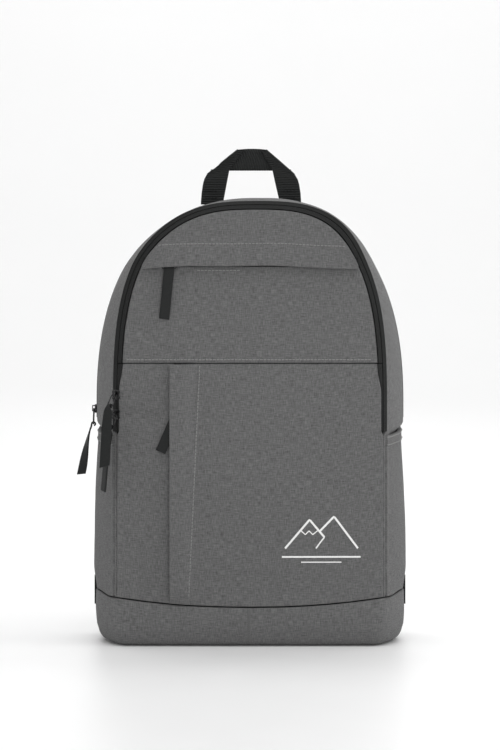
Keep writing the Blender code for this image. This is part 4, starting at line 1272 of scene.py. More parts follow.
def build_front_zip():
    """Main zip: outer tape all round, inner tape on the fold-down panel and its two closed ends."""
    inner = (-TAPE_HALF, -0.0032, -0.0026, -0.0019, -0.0013, -0.0008, -0.0004, -GAP / 2)
    outer = tuple(-offset for offset in reversed(inner))
    lines = []
    for offset in outer:
        shape = (FRONT_HALF_WIDTH + offset, FRONT_TOP_Z + offset, FRONT_POWER)
        run = arch_line(0, ZIP_END_Z + 0.0012, 421, shape)
        lines.append([zip_point(x, z, offset, tape_profile(offset)) for x, z in run])
    grid = [[line[i] for line in lines] for i in range(421)]
    piece = cloth_piece("main_zip_outer_tape", grid, TAPE, CENTRE, zip_cloth(),
                        (0.0004, 0, 0, 0))
    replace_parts(piece, "front_zip_gusset_tape")
    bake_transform(piece)
    lines = []
    for offset in inner:
        shape = (FRONT_HALF_WIDTH + offset, FRONT_TOP_Z + offset, FRONT_POWER)
        run = arch_line(0, FOLD_Z + GAP, 361, shape)
        lines.append([zip_point(x, z, offset, tape_profile(offset)) for x, z in run])
    grid = [[line[i] for line in lines] for i in range(361)]
    piece = cloth_piece("main_zip_inner_tape", grid, TAPE, CENTRE, zip_cloth(),
                        (0, 0.0004, 0, 0))
    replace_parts(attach(piece, "front_flap"), "front_zip_flap_tape")
    for label, side in (("left", -1), ("right", 1)):
        grid = []
        for i in range(41):
            z = ZIP_END_Z + 0.0012 + (FOLD_Z - GAP - ZIP_END_Z - 0.0012) * i / 40
            line_x = arch_half(z, FRONT_HALF_WIDTH, FRONT_TOP_Z, FRONT_POWER)
            start = min(panel_edge(z) + 0.0003 - line_x, -0.0010)
            row = []
            for k in range(8):
                offset = start + (-GAP / 2 - start) * k / 7
                row.append(zip_point(side * (line_x + offset), z, offset, tape_profile(offset)))
            grid.append(row)
        roll = (0, 0.0004, 0, 0)
        piece = cloth_piece(f"main_zip_end_{label}", grid, TAPE, CENTRE, zip_cloth(), roll)
        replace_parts(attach(piece, "shell"), f"front_zip_end_{label}")


def gusset_relief(p):
    """Relief of the gussets: soft waves that follow the arch."""
    fade = smooth((p.y - GUSSET_FRONT_Y) / 0.010) * smooth((REAR_TAPE_Y[0] - p.y) / 0.010)
    wave = 0.0005 * noise.noise(Vector((p.x * 24, p.y * 60, p.z * 24)))
    return (rumple(p, 11, 0.8) + wave) * fade


def rear_relief(p):
    """Relief of the standing rear gusset."""
    fade = smooth((p.y - REAR_TAPE_Y[1]) / 0.008) * smooth((BACK_Y - p.y) / 0.008)
    wave = 0.0005 * noise.noise(Vector((p.x * 22, p.y * 50, p.z * 22 + 4)))
    return (rumple(p, 12, 0.8) + wave) * fade


def wall_grid(fronts, rears, start, rows, columns):
    """Grid over a side-top-side wall; `fronts` and `rears` give its depth edges by height."""
    grid = []
    for t in rows:
        nominal = fronts(1.0) + (rears(1.0) - fronts(1.0)) * t
        line = []
        for x, z in arch_line(nominal, start(nominal), columns):
            y = fronts(z) + (rears(z) - fronts(z)) * t
            if z < SPRING_Z:
                x = math.copysign(side_x(y, z), x)
            line.append(Vector((x, y, z)))
        grid.append(line)
    return grid


def build_gussets():
    """Front gusset, standing rear gusset and the rear zip between them."""
    def gusset_front(z):
        corner = FRONT_Y + 0.0022
        return corner + (GUSSET_FRONT_Y - 0.0006 - corner) * smooth((z - ZIP_END_Z + 0.004) / 0.006)

    def gusset_rear(z):
        return REAR_TAPE_Y[0] - GAP

    def rear_front(z):
        return REAR_TAPE_Y[1] + GAP if z > REAR_ZIP_END_Z else REAR_TAPE_Y[0] + GAP

    def rear_back(z):
        return BACK_Y

    def start(y):
        return base_rim(WIDE_HALF_WIDTH, y) + SEAM_GAP

    rows = [value / 0.063 for value in marks(0.0, 0.063, 24)]
    grid = wall_grid(gusset_front, gusset_rear, start, rows, 401)
    piece = cloth_piece("front_gusset_cloth", grid, sizes().cloth, CENTRE, gusset_cloth_painted_light(),
                        (0.001, 0.001, 0.0014, 0.0008), gusset_relief)
    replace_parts(piece, "front_gusset", "side_panel_left", "side_panel_right")
    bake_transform(piece)
    rows = [value / 0.046 for value in marks(0.0, 0.046, 18)]
    grid = wall_grid(rear_front, rear_back, start, rows, 401)
    piece = cloth_piece("rear_gusset_cloth", grid, sizes().cloth, CENTRE, gusset_cloth_painted_light(),
                        (0.001, 0.001, 0.0008, 0.0014), rear_relief)
    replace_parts(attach(piece, "shell"), "rear_gusset")
    middle = sum(REAR_TAPE_Y) / 2
    for name, depths, body, roll, nodes in (
        ("rear_zip_front_tape_cloth",
         (REAR_TAPE_Y[0], REAR_TAPE_Y[0] + 0.0009, middle - 0.0007, middle - GAP / 2),
         None, (0, 0.0004, 0, 0), ("rear_zip_front_tape",)),
        ("rear_zip_back_tape_cloth",
         (middle + GAP / 2, middle + 0.0007, REAR_TAPE_Y[1] - 0.0009, REAR_TAPE_Y[1]),
         "shell", (0.0004, 0, 0, 0), ("rear_zip_back_tape", "rear_zip_end_left", "rear_zip_end_right")),
    ):
        lines = []
        for y in depths:
            proud = 0.0007 - 0.0006 * (y in (depths[0], depths[-1]))
            run = arch_line(y, REAR_ZIP_END_Z + 0.0006, 361)
            line = []
            for x, z in run:
                out = Vector((x, 0, max(z - SPRING_Z, 0) * 1.1)).normalized()
                line.append(Vector((x, y, z)) + out * proud)
            lines.append(line)
        grid = [[line[i] for line in lines] for i in range(361)]
        piece = cloth_piece(name, grid, 0.0011, CENTRE, zip_cloth(), roll)
        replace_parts(piece, *nodes)
        if body:
            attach(piece, body)
        else:
            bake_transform(piece)


# ---------------------------------------------------------------- base and slip pockets


def plan_loop(inset, count):
    """Closed outline of the shell in plan, moved inwards by `inset`."""
    half = []
    for i in range(13):
        half.append((FRONT_HALF_WIDTH * i / 12 * 0.985, front_y(FRONT_HALF_WIDTH * i / 12, 0.02)))
    for i in range(1, 25):
        y = FRONT_Y + 0.0025 + (BACK_Y - 0.006 - FRONT_Y - 0.0025) * i / 24
        half.append((shell_section(y)[0], y))
    half.append((BACK_HALF_WIDTH - 0.0015, BACK_Y + 0.0005))
    half.append((BACK_HALF_WIDTH - 0.0060, BACK_Y + 0.0035))
    half.append((0.0, BACK_Y + 0.0040))
    left = [(-x, y) for x, y in half[-2:0:-1]]
    ring = even_steps(half + left + half[:1], count + 1)[:-1]
    for _ in range(3):
        ring = [
            tuple((a + 2 * b + c) / 4 for a, b, c in zip(ring[i - 1], ring[i], ring[(i + 1) % count]))
            for i in range(count)
        ]
    out = []
    for i, (x, y) in enumerate(ring):
        before = ring[i - 1]
        after = ring[(i + 1) % count]
        dx, dy = after[0] - before[0], after[1] - before[1]
        size = math.hypot(dx, dy)
        out.append((x - dy / size * inset, y + dx / size * inset))
    return out


def build_base():
    """Base tray: a soft-edged underside that turns up into the wall band below the seam."""
    count = 300
    steps = [(0.0400, 0.0), (0.0150, 0.0), (0.0112, 0.0006), (0.0080, 0.0018), (0.0054, 0.0036),
             (0.0034, 0.0058), (0.0019, 0.0086), (0.0009, 0.0122)]
    share = [0.0, 0.10, 0.22, 0.36, 0.50, 0.64, 0.78, 0.88, 0.94, 0.97]
    rings = []
    for inset, z in steps:
        rings.append([Vector((x, y, z)) for x, y in plan_loop(inset, count)])
    for t in share[1:]:
        ring = []
        bulge = -0.0006 - 0.0014 * math.sin(math.pi * t) ** 0.8
        for x, y in plan_loop(bulge + 0.0009 * (1 - t), count):
            p = Vector((x, y, 0.0122 + (base_rim(x, y) - 0.0122) * t))
            ring.append(p)
        rings.append(ring)
    for inset, drop in ((-0.0001, 0.0004), (0.0005, 0.0001), (0.0013, 0.0001), (0.0020, 0.0006)):
        rings.append([Vector((x, y, base_rim(x, y) - drop)) for x, y in plan_loop(inset, count)])
    lining = ((0.0030, 0.0230), (0.0042, 0.0130), (0.0070, 0.0062), (0.0150, 0.0034), (0.0400, 0.0026))
    for inset, z in lining:
        rings.append([Vector((x, y, z)) for x, y in plan_loop(inset, count)])
    outer_rings = len(steps) + len(share) - 1
    for r, ring in enumerate(rings[2:outer_rings], 2):
        for i, p in enumerate(ring):
            before, after = ring[i - 1], ring[(i + 1) % count]
            out = Vector((after.y - before.y, before.x - after.x, 0)).normalized()
            fade = smooth((base_rim(p.x, p.y) - p.z) / 0.008) * smooth(p.z / 0.010)
            value = rumple(p, 14, 1.1) * fade + puckers(i * 0.0027, base_rim(p.x, p.y) - p.z, 15) * fade
            across = ((p.x + 0.119) * 0.6 + (p.z - 0.028)) / 0.004
            dent = math.exp(-(across**2)) * (p.x < -0.100) * (p.y < 0)
            ring[i] = p + out * (value - 0.0011 * dent * fade)
    points = [p for ring in rings for p in ring]
    uv = []
    height = 0.0
    for r, ring in enumerate(rings):
        if r:
            height += (ring[0] - rings[r - 1][0]).length
        uv += [(i * 0.00262, height) for i in range(count)]
    faces = [tuple(range(count))]
    for r in range(len(rings) - 1):
        for i in range(count):
            k = (i + 1) % count
            faces.append((r * count + i, r * count + k, (r + 1) * count + k, (r + 1) * count + i))
    faces.append(tuple((len(rings) - 1) * count + i for i in range(count)))
    piece = finished_object("base_tray", points, faces, uv, main_cloth())
    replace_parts(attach(piece, "shell"), "base_panel")


POCKET_FRONT_Y = -0.0570
POCKET_BACK_Y = 0.0580


def pocket_x(y, z):
    """Outer half width of a slip pocket, full low down and drawn in at its hem."""
    t = min(max((z - BASE_RIM_SIDE_Z) / (HEM_FRONT_Z - BASE_RIM_SIDE_Z), 0.0), 1.0)
    u = min(max((y - POCKET_FRONT_Y) / (POCKET_BACK_Y - POCKET_FRONT_Y), 0.0), 1.0)
    swell = (POCKET_SWELL - (POCKET_SWELL + HEM_TUCK) * t**2.5) * smooth(t * 6)
    belly = math.sin(math.pi * u) ** 0.6
    return max(side_x(y, z) + 0.0022, shell_section(y)[0] + swell * belly)


def pocket_relief(p):
    """Gathers that hang from the elastic hem and soft rumples below."""
    down = hem_top(p.y) - HEM_HEIGHT - p.z
    gather = 0.0008 * noise.noise(Vector((p.y * 95, 2.0, p.z * 7))) * math.exp(-max(down, 0) / 0.045)
    u = (p.y - POCKET_FRONT_Y) / (POCKET_BACK_Y - POCKET_FRONT_Y)
    fade = smooth(min(u, 1 - u) / 0.07) * smooth((p.z - BASE_RIM_SIDE_Z) / 0.010)
    return (gather + rumple(p, 16, 1.0)) * fade


def build_slip_pockets():
    """Slip pocket and elastic hem on each side."""
    for label, side in (("left", -1), ("right", 1)):
        depths = marks(POCKET_FRONT_Y, POCKET_BACK_Y, 52)
        grid = []
        hem = []
        lines = ([], [])
        for y in depths:
            low = base_rim(WIDE_HALF_WIDTH, y) + SEAM_GAP + 0.0003
            bottom = hem_top(y) - HEM_HEIGHT
            column = marks(low, bottom + 0.0004, 64)
            grid.append([Vector((side * pocket_x(y, z), y, z)) for z in column])
            column = [bottom + HEM_HEIGHT * t for t in HEM_ROWS]
            hem.append([Vector((side * (pocket_x(y, z) + 0.0006), y, z)) for z in column])
            for line, share in zip(lines, (0.16, 0.84)):
                z = bottom + HEM_HEIGHT * share
                p = Vector((side * (pocket_x(y, z) + 0.0006), y, z))
                line.append(p + Vector((side * (pocket_relief(p) + 0.0001), 0, 0)))
        piece = cloth_piece(f"slip_pocket_{label}", grid, 0.0013, CENTRE, main_cloth(),
                            (0.0010, 0, 0.0010, 0.0010), pocket_relief)
        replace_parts(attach(piece, "shell"), f"side_pocket_{label}")
        piece = cloth_piece(f"slip_pocket_hem_{label}", hem, 0.0021, CENTRE, main_cloth(),
                            (0.0010, 0.0009, 0.0008, 0.0008), pocket_relief)
        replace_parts(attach(piece, "shell"), f"pocket_hem_{label}")
        for line in lines:
            stitch_row("shell", line, Vector((side, 0, 0)))


# ---------------------------------------------------------------- back and inside


def slab_point(x, t, y, half, top, low):
    """Point of an arched slab at a distance from the middle and a share of its height."""
    return Vector((x, y, low + (arch_height(x, half, top, WIDE_POWER) - low) * t))


PAD_LOW_Z = 0.062
PAD_INSET = 0.021


def pad_swell(x, z, half, top):
    """Thickness of the quilted back pad: three upright cushions with sewn channels between."""
    edge = min(half - abs(x), z - PAD_LOW_Z, arch_height(x, half, top, WIDE_POWER) - z)
    rim = math.sqrt(max(1 - (1 - min(edge / 0.010, 1.0)) ** 2, 0.0))
    channel = 1.0
    for line in (-0.038, 0.038):
        channel *= 1 - 0.62 * math.exp(-(((x - line) / 0.0055) ** 2))
    for level in (0.150, 0.262):
        inside = smooth((0.038 - abs(x)) / 0.004)
        channel *= 1 - 0.60 * inside * math.exp(-(((z - level) / 0.0055) ** 2))
    return 0.0012 + 0.0082 * rim * channel


def build_back():
    """Back wall, quilted back pad, seam binding and the divider between the compartments."""
    low = BASE_RIM_SIDE_Z + SEAM_GAP
    half, top = BACK_HALF_WIDTH, BACK_TOP_Z
    xs = [half * 0.9985 * math.sin(math.pi / 2 * (2 * c / 80 - 1)) for c in range(81)]
    grid = [[slab_point(x, t, BACK_Y + 0.0041, half, top, low) for x in xs] for t in
            [value / 0.35 for value in marks(0.0, 0.35, 60)]]
    piece = cloth_piece("back_wall", grid, 0.0022, AHEAD, gusset_cloth_painted_light(), (0.001,) * 4)
    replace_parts(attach(piece, "shell"), "back_panel")
    half, top = BACK_HALF_WIDTH - PAD_INSET, BACK_TOP_Z - PAD_INSET
    xs = [half * 0.9985 * math.sin(math.pi / 2 * (2 * c / 130 - 1)) for c in range(131)]
    face = BACK_Y + 0.0046
    grid = []
    for t in [value / 0.32 for value in marks(0.0, 0.32, 140)]:
        row = []
        for x in xs:
            p = slab_point(x, t, face, half, top, PAD_LOW_Z)
            swell = pad_swell(x, p.z, half, top) + 0.0004 * noise.noise(p * 30)
            row.append(lean(p) + Vector((0, swell, 0)))
        grid.append(row)
    points = [p for row in grid for p in row]
    back = [Vector((p.x, face, p.z)) for p in points]
    rows, columns = len(grid), len(xs)
    count = rows * columns
    faces = []
    for r in range(rows - 1):
        for c in range(columns - 1):
            a = r * columns + c
            faces.append((a, a + 1, a + columns + 1, a + columns))
            faces.append(tuple(i + count for i in (a + columns, a + columns + 1, a + 1, a)))
    rim = list(range(columns)) + [r * columns + columns - 1 for r in range(1, rows)]
    rim += [(rows - 1) * columns + c for c in range(columns - 2, -1, -1)]
    rim += [r * columns for r in range(rows - 2, 0, -1)]
    for i, a in enumerate(rim):
        b = rim[(i + 1) % len(rim)]
        faces.append((b, a, a + count, b + count))
    uv = [(p.x, p.z) for p in points] * 2
    piece = finished_object("quilted_back_pad", points + back, faces, uv, air_mesh())
    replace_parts(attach(piece, "shell"), "back_pad")
    line = arch_line(BACK_Y + 0.0035, low, 361, (BACK_HALF_WIDTH + 0.0006, BACK_TOP_Z + 0.0006, WIDE_POWER))
    path = [lean(Vector((x, BACK_Y + 0.0012, z))) for x, z in line]
    piece = wire("back_seam_binding", path, 0.0021, 10, False, ribbon_cloth())
    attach(piece, "shell")
    divider_y = WIDE_Y - 0.006
    half = WIDE_HALF_WIDTH - 0.0120
    grid = []
    for z in marks(0.0095, SPLIT_REAR_Z - 0.0012, 40):
        wide = arch_half(z, half, WIDE_TOP_Z - 0.006, WIDE_POWER) - 0.010 * (1 - smooth((z - 0.0095) / 0.040))
        row = []
        for x in marks(-wide, wide, 36):
            row.append(Vector((x, divider_y, z)))
        grid.append(row)

    def inner_sag(p):
        return 0.6 * rumple(p, 19)

    piece = cloth_piece("divider_cloth_lower", grid, 0.0011, BEHIND, lining_cloth(),
                        (0, 0, 0, 0), inner_sag)
    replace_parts(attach(piece, "shell"), "divider_lower")
    grid = []
    for t in [value / 0.14 for value in marks(0.0, 0.14, 24)]:
        row = []
        for c in range(61):
            x = half * math.sin(math.pi / 2 * (c / 30 - 1)) * 0.945
            high = arch_height(x, half, WIDE_TOP_Z - 0.0050, WIDE_POWER)
            row.append(Vector((x, divider_y, SPLIT_REAR_Z + (high - SPLIT_REAR_Z) * t)))
        grid.append(row)
    piece = cloth_piece("divider_cloth_upper", grid, 0.0011, BEHIND, lining_cloth(),
                        (0, 0, 0, 0), inner_sag)
    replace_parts(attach(piece, "front_half"), "divider_upper")


# ---------------------------------------------------------------- handle, pullers and straps


def between(line, z):
    """Distance across at a height, along a rising outline of (x, z) pairs."""
    for (x0, z0), (x1, z1) in zip(line, line[1:]):
        if z <= z1:
            return x0 + (x1 - x0) * (z - z0) / (z1 - z0)
    return line[-1][0]


LEFT_OUTER = ((-0.0486, -0.003), (-0.0485, 0.0), (-0.0479, 0.008), (-0.0466, 0.0170), (-0.0452, 0.0222),
              (-0.0426, 0.0268), (-0.0380, 0.0304), (-0.0285, 0.0381), (-0.0190, 0.0457), (-0.0118, 0.0513))
LEFT_INNER = ((-0.0264, -0.003), (-0.0262, 0.0006), (-0.0233, 0.0160), (-0.0205, 0.0306), (-0.0060, 0.0513))
RIGHT_OUTER = ((0.0506, -0.003), (0.0505, 0.0), (0.0500, 0.008), (0.0487, 0.0165), (0.0472, 0.0218),
               (0.0443, 0.0266), (0.0405, 0.0300), (0.0310, 0.0382), (0.0240, 0.0442), (0.0158, 0.0511))
RIGHT_INNER = ((0.0292, -0.003), (0.0290, 0.0006), (0.0254, 0.0160), (0.0222, 0.0306), (0.0105, 0.0513))


def build_handle():
    """Grab handle: one webbing whose legs fold over at a slant into the top bar."""
    pitch = sizes().rib_pitch
    pieces = []
    for label, outer, inner in (("left", LEFT_OUTER, LEFT_INNER), ("right", RIGHT_OUTER, RIGHT_INNER)):
        grid = []
        for i in range(137):
            z = -0.003 + 0.0543 * i / 136
            a, b = between(outer, z), between(inner, z)
            row = []
            for x in marks(min(a, b), max(a, b), 8):
                row.append(HANDLE_PIVOT + Vector((x, -0.0003, z)))
            grid.append(row)

        def ribs(p):
            wave = 0.10 * noise.noise(Vector((p.x * 60, p.z * 60, 3)))
            return 0.00032 * abs(math.sin(math.pi * (p.z / pitch + wave)))

        piece = cloth_piece(f"handle_leg_{label}", grid, 0.0013, BEHIND, strap_webbing(),
                            (0.0005, 0.0005, 0, 0.0005), ribs, plumb=True)
        pieces.append(piece)
    grid = []
    for x in marks(-0.0388, 0.0406, 190):
        left = between([(z, x0) for x0, z in LEFT_OUTER[5:]], x) if x < -0.0118 else 0.0514
        right = between([(z, -x0) for x0, z in RIGHT_OUTER[5:]], -x) if x > 0.0158 else 0.0514
        high = min(left, right, 0.0514) + 0.0008 * max(1 - ((x - 0.002) / 0.0138) ** 2, 0)
        row = []
        for k in range(16):
            z = 0.0306 + max(high - 0.0306, 0.0012) * k / 15
            row.append(HANDLE_PIVOT + Vector((x, 0.0013, z)))
        grid.append(row)

    def bar_ribs(p):
        wave = 0.08 * noise.noise(Vector((p.z * 40, p.x * 60, 5)))
        return 0.00032 * abs(math.sin(math.pi * (p.x / pitch + wave)))

    pieces.append(cloth_piece("handle_bar", grid, 0.0013, BEHIND, strap_webbing(),
                              (0.0005, 0.0005, 0, 0), bar_ribs, plumb=True))
    for label, outer in (("left", LEFT_OUTER), ("right", RIGHT_OUTER)):
        path = [HANDLE_PIVOT + Vector((x * 0.985, 0.0010, z - 0.0005)) for x, z in outer[5:]]
        pieces.append(wire(f"handle_fold_{label}", path, 0.0014, 10, False, strap_webbing()))
    for piece in pieces:
        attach(piece, "handle")
    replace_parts(pieces[0], "grab_handle")
    for start, end in ((-0.0455, -0.0290), (0.0320, 0.0478)):
        for level in (0.0035, 0.0105):
            line = [HANDLE_PIVOT + Vector((start + (end - start) * i / 20, -0.0008, level))
                    for i in range(21)]
            stitch_row("handle", line, Vector((0, -1, 0)))


def hook_point(centre, facing, thin):
    """Middle of the opening under a slider's hook."""
    out = facing.normalized()
    body = 0.0009 if thin else 0.0018
    opening = 0.0016 if thin else 0.0019
    return centre + out * (GAP + body / 2) + out * (body / 2 + opening / 2)


def build_ribbon(name, hook, facing, hang, drape, loop, ribbon, twist=0.0, pace=2.0, thin=False, slant=0.0):
    """Grosgrain ribbon folded through a wire loop that hangs along `hang`; it falls along `drape`."""
    down = hang.normalized()
    across = down.cross(facing).normalized()
    out = across.cross(down).normalized()
    radius = 0.00045 if thin else 0.0006
    thick = 0.0009 if thin else 0.0015
    wide = 0.0098
    centre = hook + down * loop[1]
    reach = radius + GAP + thick / 2
    line = []
    for k in range(17):
        turn = math.radians(250 - 250 * k / 16)
        line.append(centre + out * (reach * math.cos(turn)) - down * (reach * math.sin(turn)))
    start = centre + out * reach
    narrow = min(wide, loop[0] - 0.0026)
    sides = [across] * len(line)
    widths = [narrow] * len(line)
    fall = drape.normalized()
    level = fall.cross(facing).normalized()
    away = level.cross(fall).normalized()
    for k in range(1, 41):
        t = k / 40
        settle = smooth(t * 2) * (reach - thick)
        sag = 0.0 if thin else 0.0006 * math.sin(math.pi * t * 1.5)
        turn = math.radians(twist * smooth(t * pace))
        early = smooth(t * 8)
        line.append(start + (down.lerp(fall, early)) * (ribbon * t) - away * (settle - sag))
        sides.append(across.lerp(level, early) * math.cos(turn) + away * math.sin(turn))
        widths.append(narrow + (wide - narrow) * smooth(t * 8))
    piece = band(f"{name}_tape", line, sides, widths, thick, ribbon_cloth())
    mesh = piece.data
    size = len(mesh.vertices) // len(line)
    for i in range(len(line) - 12, len(line)):
        share = (i - len(line) + 12) / 11
        for k in range(size):
            vertex = mesh.vertices[i * size + k]
            offset = (vertex.co - line[i]).dot(sides[i])
            vertex.co += fall * (offset * slant * share)
    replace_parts(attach(piece, name), f"{name}_ribbon")


def build_pullers():
    """Ribbons of all five zip pullers."""
    diagonal = Vector((-0.574, -0.819, 0))
    centre = Vector((-FRONT_HALF_WIDTH, FRONT_Y + 0.0002, 0.2375))
    hook = hook_point(centre, diagonal, False)
    build_ribbon("front_puller_upper", hook, diagonal, Vector((-0.42, -0.45, -1)),
                 Vector((-0.07, -0.12, -1)), (0.0062, 0.0125), 0.058, twist=25, slant=0.3)
    centre.z = 0.2190
    hook = hook_point(centre, diagonal, False)
    build_ribbon("front_puller_lower", hook, diagonal, Vector((-0.30, -0.10, -1)),
                 Vector((-0.11, 0.02, -1)), (0.0062, 0.0125), 0.061, twist=-25, slant=-0.1)
    side = Vector((-1, 0, 0))
    y = sum(REAR_TAPE_Y) / 2
    hook = hook_point(Vector((-side_x(y, 0.240) - 0.0003, y, 0.2235)), side, False)
    build_ribbon("rear_puller", hook, side, Vector((-0.03, 0, -1)), Vector((-0.226, 0, -1)),
                 (0.0062, 0.0150), 0.050, twist=58, pace=1.1, slant=0.3)
    front = Vector((0, -1, 0))
    hook = hook_point(Vector((-0.0760, front_y(0, 0.3625) - 0.0002, 0.3620)), front, True)
    build_ribbon("top_puller", hook, front, Vector((-0.01, 0, -1)), Vector((-0.098, 0, -1)),
                 (0.0132, 0.0062), 0.0475, thin=True, slant=-0.05)
    tilted = Vector((-0.067, -1, 0))
    x = sum(SIDE_TAPE_X) / 2
    hook = hook_point(Vector((x, front_y(x, 0.23) - 0.0005, 0.2295)), tilted, True)
    build_ribbon("side_puller", hook, tilted, Vector((-0.02, 0.0157, -1)), Vector((-0.437, 0.0157, -1)),
                 (0.0062, 0.0100), 0.039, thin=True, slant=0.0)


def build_pad(label, path, wide):
    """Padded strap with rounded edges and closed ends."""
    count = len(path)
    run = running(path)
    sections = 36
    points, uv = [], []
    for i, p in enumerate(path):
        forward = (path[min(i + 1, count - 1)] - path[max(i - 1, 0)]).normalized()
        side = (wide - forward * wide.dot(forward)).normalized()
        normal = forward.cross(side)
        end = min(run[i], run[-1] - run[i])
        close = math.sqrt(max(1 - (1 - min(end / 0.007, 1.0)) ** 2, 0.0))
        width = PAD_WIDTH * (0.78 + 0.22 * smooth(run[i] / run[-1] * 2.5)) * (0.90 + 0.10 * close)
        for k in range(sections):
            turn = 2 * math.pi * k / sections
            a = math.copysign(abs(math.cos(turn)) ** 0.62, math.cos(turn))
            b = math.copysign(abs(math.sin(turn)) ** 0.80, math.sin(turn))
            puff = 1 - 0.20 * math.exp(-((a / 0.16) ** 2)) - 0.15 * math.exp(-(((abs(a) - 0.62) / 0.10) ** 2))
            thick = PAD_THICKNESS * (0.20 + 0.80 * close) * puff
            points.append(p + side * (a * width / 2) + normal * (b * thick / 2))
            uv.append((a * width / 2, run[i]))
    faces = [tuple(range(sections)), tuple(reversed(range((count - 1) * sections, count * sections)))]
    for i in range(count - 1):
        for k in range(sections):
            a = i * sections + k
            b = i * sections + (k + 1) % sections
            faces.append((a, a + sections, b + sections, b))
    return finished_object(f"shoulder_pad_{label}", points, faces, uv, air_mesh())


def build_straps():
    """Padded shoulder straps, their buckle webbing, yokes and lower anchors."""
    wide = Vector((1, 0, 0))
    for label, side in (("left", -1), ("right", 1)):
        body = f"strap_{label}"

        def at(x, y, z, side=side):
            return Vector((side * x, y, z))

        coarse = [at(0.052, 0.0840, 0.4085), at(0.052, 0.0940, 0.4080), at(0.053, 0.1040, 0.3920),
                  at(0.061, 0.1150, 0.340), at(0.075, 0.1180, 0.280), at(0.092, 0.1120, 0.225)]
        path = curve_through(coarse, 20)
        pad = build_pad(label, path, wide)
        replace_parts(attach(pad, body), f"strap_pad_{label}")
        run = running(path)
        for edge in (-1, 1):
            trim = []
            for i, p in enumerate(path):
                forward = (path[min(i + 1, len(path) - 1)] - path[max(i - 1, 0)]).normalized()
                across = (wide - forward * wide.dot(forward)).normalized()
                width = PAD_WIDTH * (0.78 + 0.22 * smooth(run[i] / run[-1] * 2.5)) - 0.0012
                if 0.004 < run[i] < run[-1] - 0.004:
                    trim.append(p + across * (edge * width / 2))
            name = f"pad_binding_{label}_{'inner' if edge == -side else 'outer'}"
            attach(wire(name, trim, 0.0017, 10, False, ribbon_cloth()), body)
        along = (coarse[-1] - curve_through(coarse, 4)[-2]).normalized()
        flat = (wide - along * wide.dot(along)).normalized()
        out = along.cross(flat).normalized()
        if out.y < 0:
            out = -out
        low = coarse[-1]
        lock = low + along * 0.0190
        thick = 0.0014
        gap = LOCK_THICKNESS / 2 + thick / 2 + 2 * GAP
        top = lock + along * -0.01125
        ring = [low + along * 0.0012 - out * gap]
        for k in range(17):
            turn = math.radians(-90 + 180 * k / 16)
            ring.append(top + along * (math.cos(turn) * 0.0036) + out * (gap * math.sin(turn)))
        ring.append(low + along * 0.0012 + out * gap)
        piece = band(f"buckle_loop_{label}", ring, flat, WEBBING_WIDTH - 0.001, thick,
                     strap_webbing())
        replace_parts(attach(piece, body), f"lock_loop_{label}")
        clear = LOCK_THICKNESS / 2 + thick / 2 + 2 * GAP
        anchor = Vector((side * STRAP_LOW.x, STRAP_LOW.y, STRAP_LOW.z))
        path = [
            lock + along * 0.060 - out * (clear + 0.0105),
            lock + along * 0.030 - out * (clear + 0.0085),
            lock + along * 0.012 - out * (clear + 0.0038),
            lock - along * 0.0010 - out * (clear + 0.0025),
            lock - along * 0.0032 - out * (clear * 0.3),
            lock - along * 0.0030 + out * (clear * 0.7),
            lock - along * 0.0010 + out * clear,
            lock + along * 0.0010 + out * clear,
            lock + along * 0.0030 + out * (clear * 0.7),
            lock + along * 0.0036 - out * (clear * 0.3),
            lock + along * 0.0070 - out * (clear + 0.0002),
            lock + along * 0.0150 - out * (clear + 0.0004),
        ]
        mid = path[-1] * 0.45 + anchor * 0.55 + Vector((0, 0.010, 0))
        path = path[:-1] + curve_through([path[-1], mid, anchor + Vector((side * -0.001, 0.001, 0.012))], 14)
        piece = band(f"adjusting_webbing_{label}", path, flat, WEBBING_WIDTH - 0.001, thick,
                     strap_webbing())
        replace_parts(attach(piece, body), f"strap_webbing_{label}")
        yoke = curve_through([Vector((side * STRAP_TOP.x, BACK_Y + dy, dz)) for dy, dz in
                              ((0.0064, 0.4068), (0.0072, 0.4108), (0.0102, 0.4124), (0.0138, 0.4118),
                               (0.0158, 0.4100))], 6)
        piece = band(f"strap_yoke_cloth_{label}", yoke, wide, 0.0340, 0.0022, gusset_cloth_painted_light())
        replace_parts(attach(piece, "shell"), f"strap_yoke_{label}")
        build_anchor(label, side)


def build_anchor(label, side):
    """Triangular webbing tab sewn into the lower back seam."""
    outline = [(-0.012, 0.000), (0.000, -0.013), (0.0135, -0.013), (0.0135, 0.016), (0.002, 0.012)]
    middle = (0.0045, 0.0010)
    centre = Vector((side * 0.1415, BACK_Y + 0.0062, 0.041))
    levels = ((1.0, -0.0008), (1.0, 0.0008), (0.955, 0.0013), (0.0, 0.0014))
    corners = []
    for i, (x, z) in enumerate(outline):
        nx, nz = outline[(i + 1) % len(outline)]
        for k in range(8):
            corners.append((x + (nx - x) * k / 8, z + (nz - z) * k / 8))
    count = len(corners)
    points, uv = [], []
    for share, y in ((0.955, -0.0013),) + levels[:3]:
        for x, z in corners:
            flat = (middle[0] + (x - middle[0]) * share, middle[1] + (z - middle[1]) * share)
            points.append(centre + Vector((side * flat[0], y, flat[1])))
            uv.append((flat[1], flat[0]))
    faces = [tuple(range(count)), tuple(range(3 * count, 4 * count))]
    for r in range(3):
        for i in range(count):
            k = (i + 1) % count
            faces.append((r * count + i, r * count + k, (r + 1) * count + k, (r + 1) * count + i))
    piece = finished_object(f"anchor_tab_{label}", points, faces, uv, strap_webbing())
    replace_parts(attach(piece, "shell"), f"strap_anchor_{label}")


# ---------------------------------------------------------------- small parts


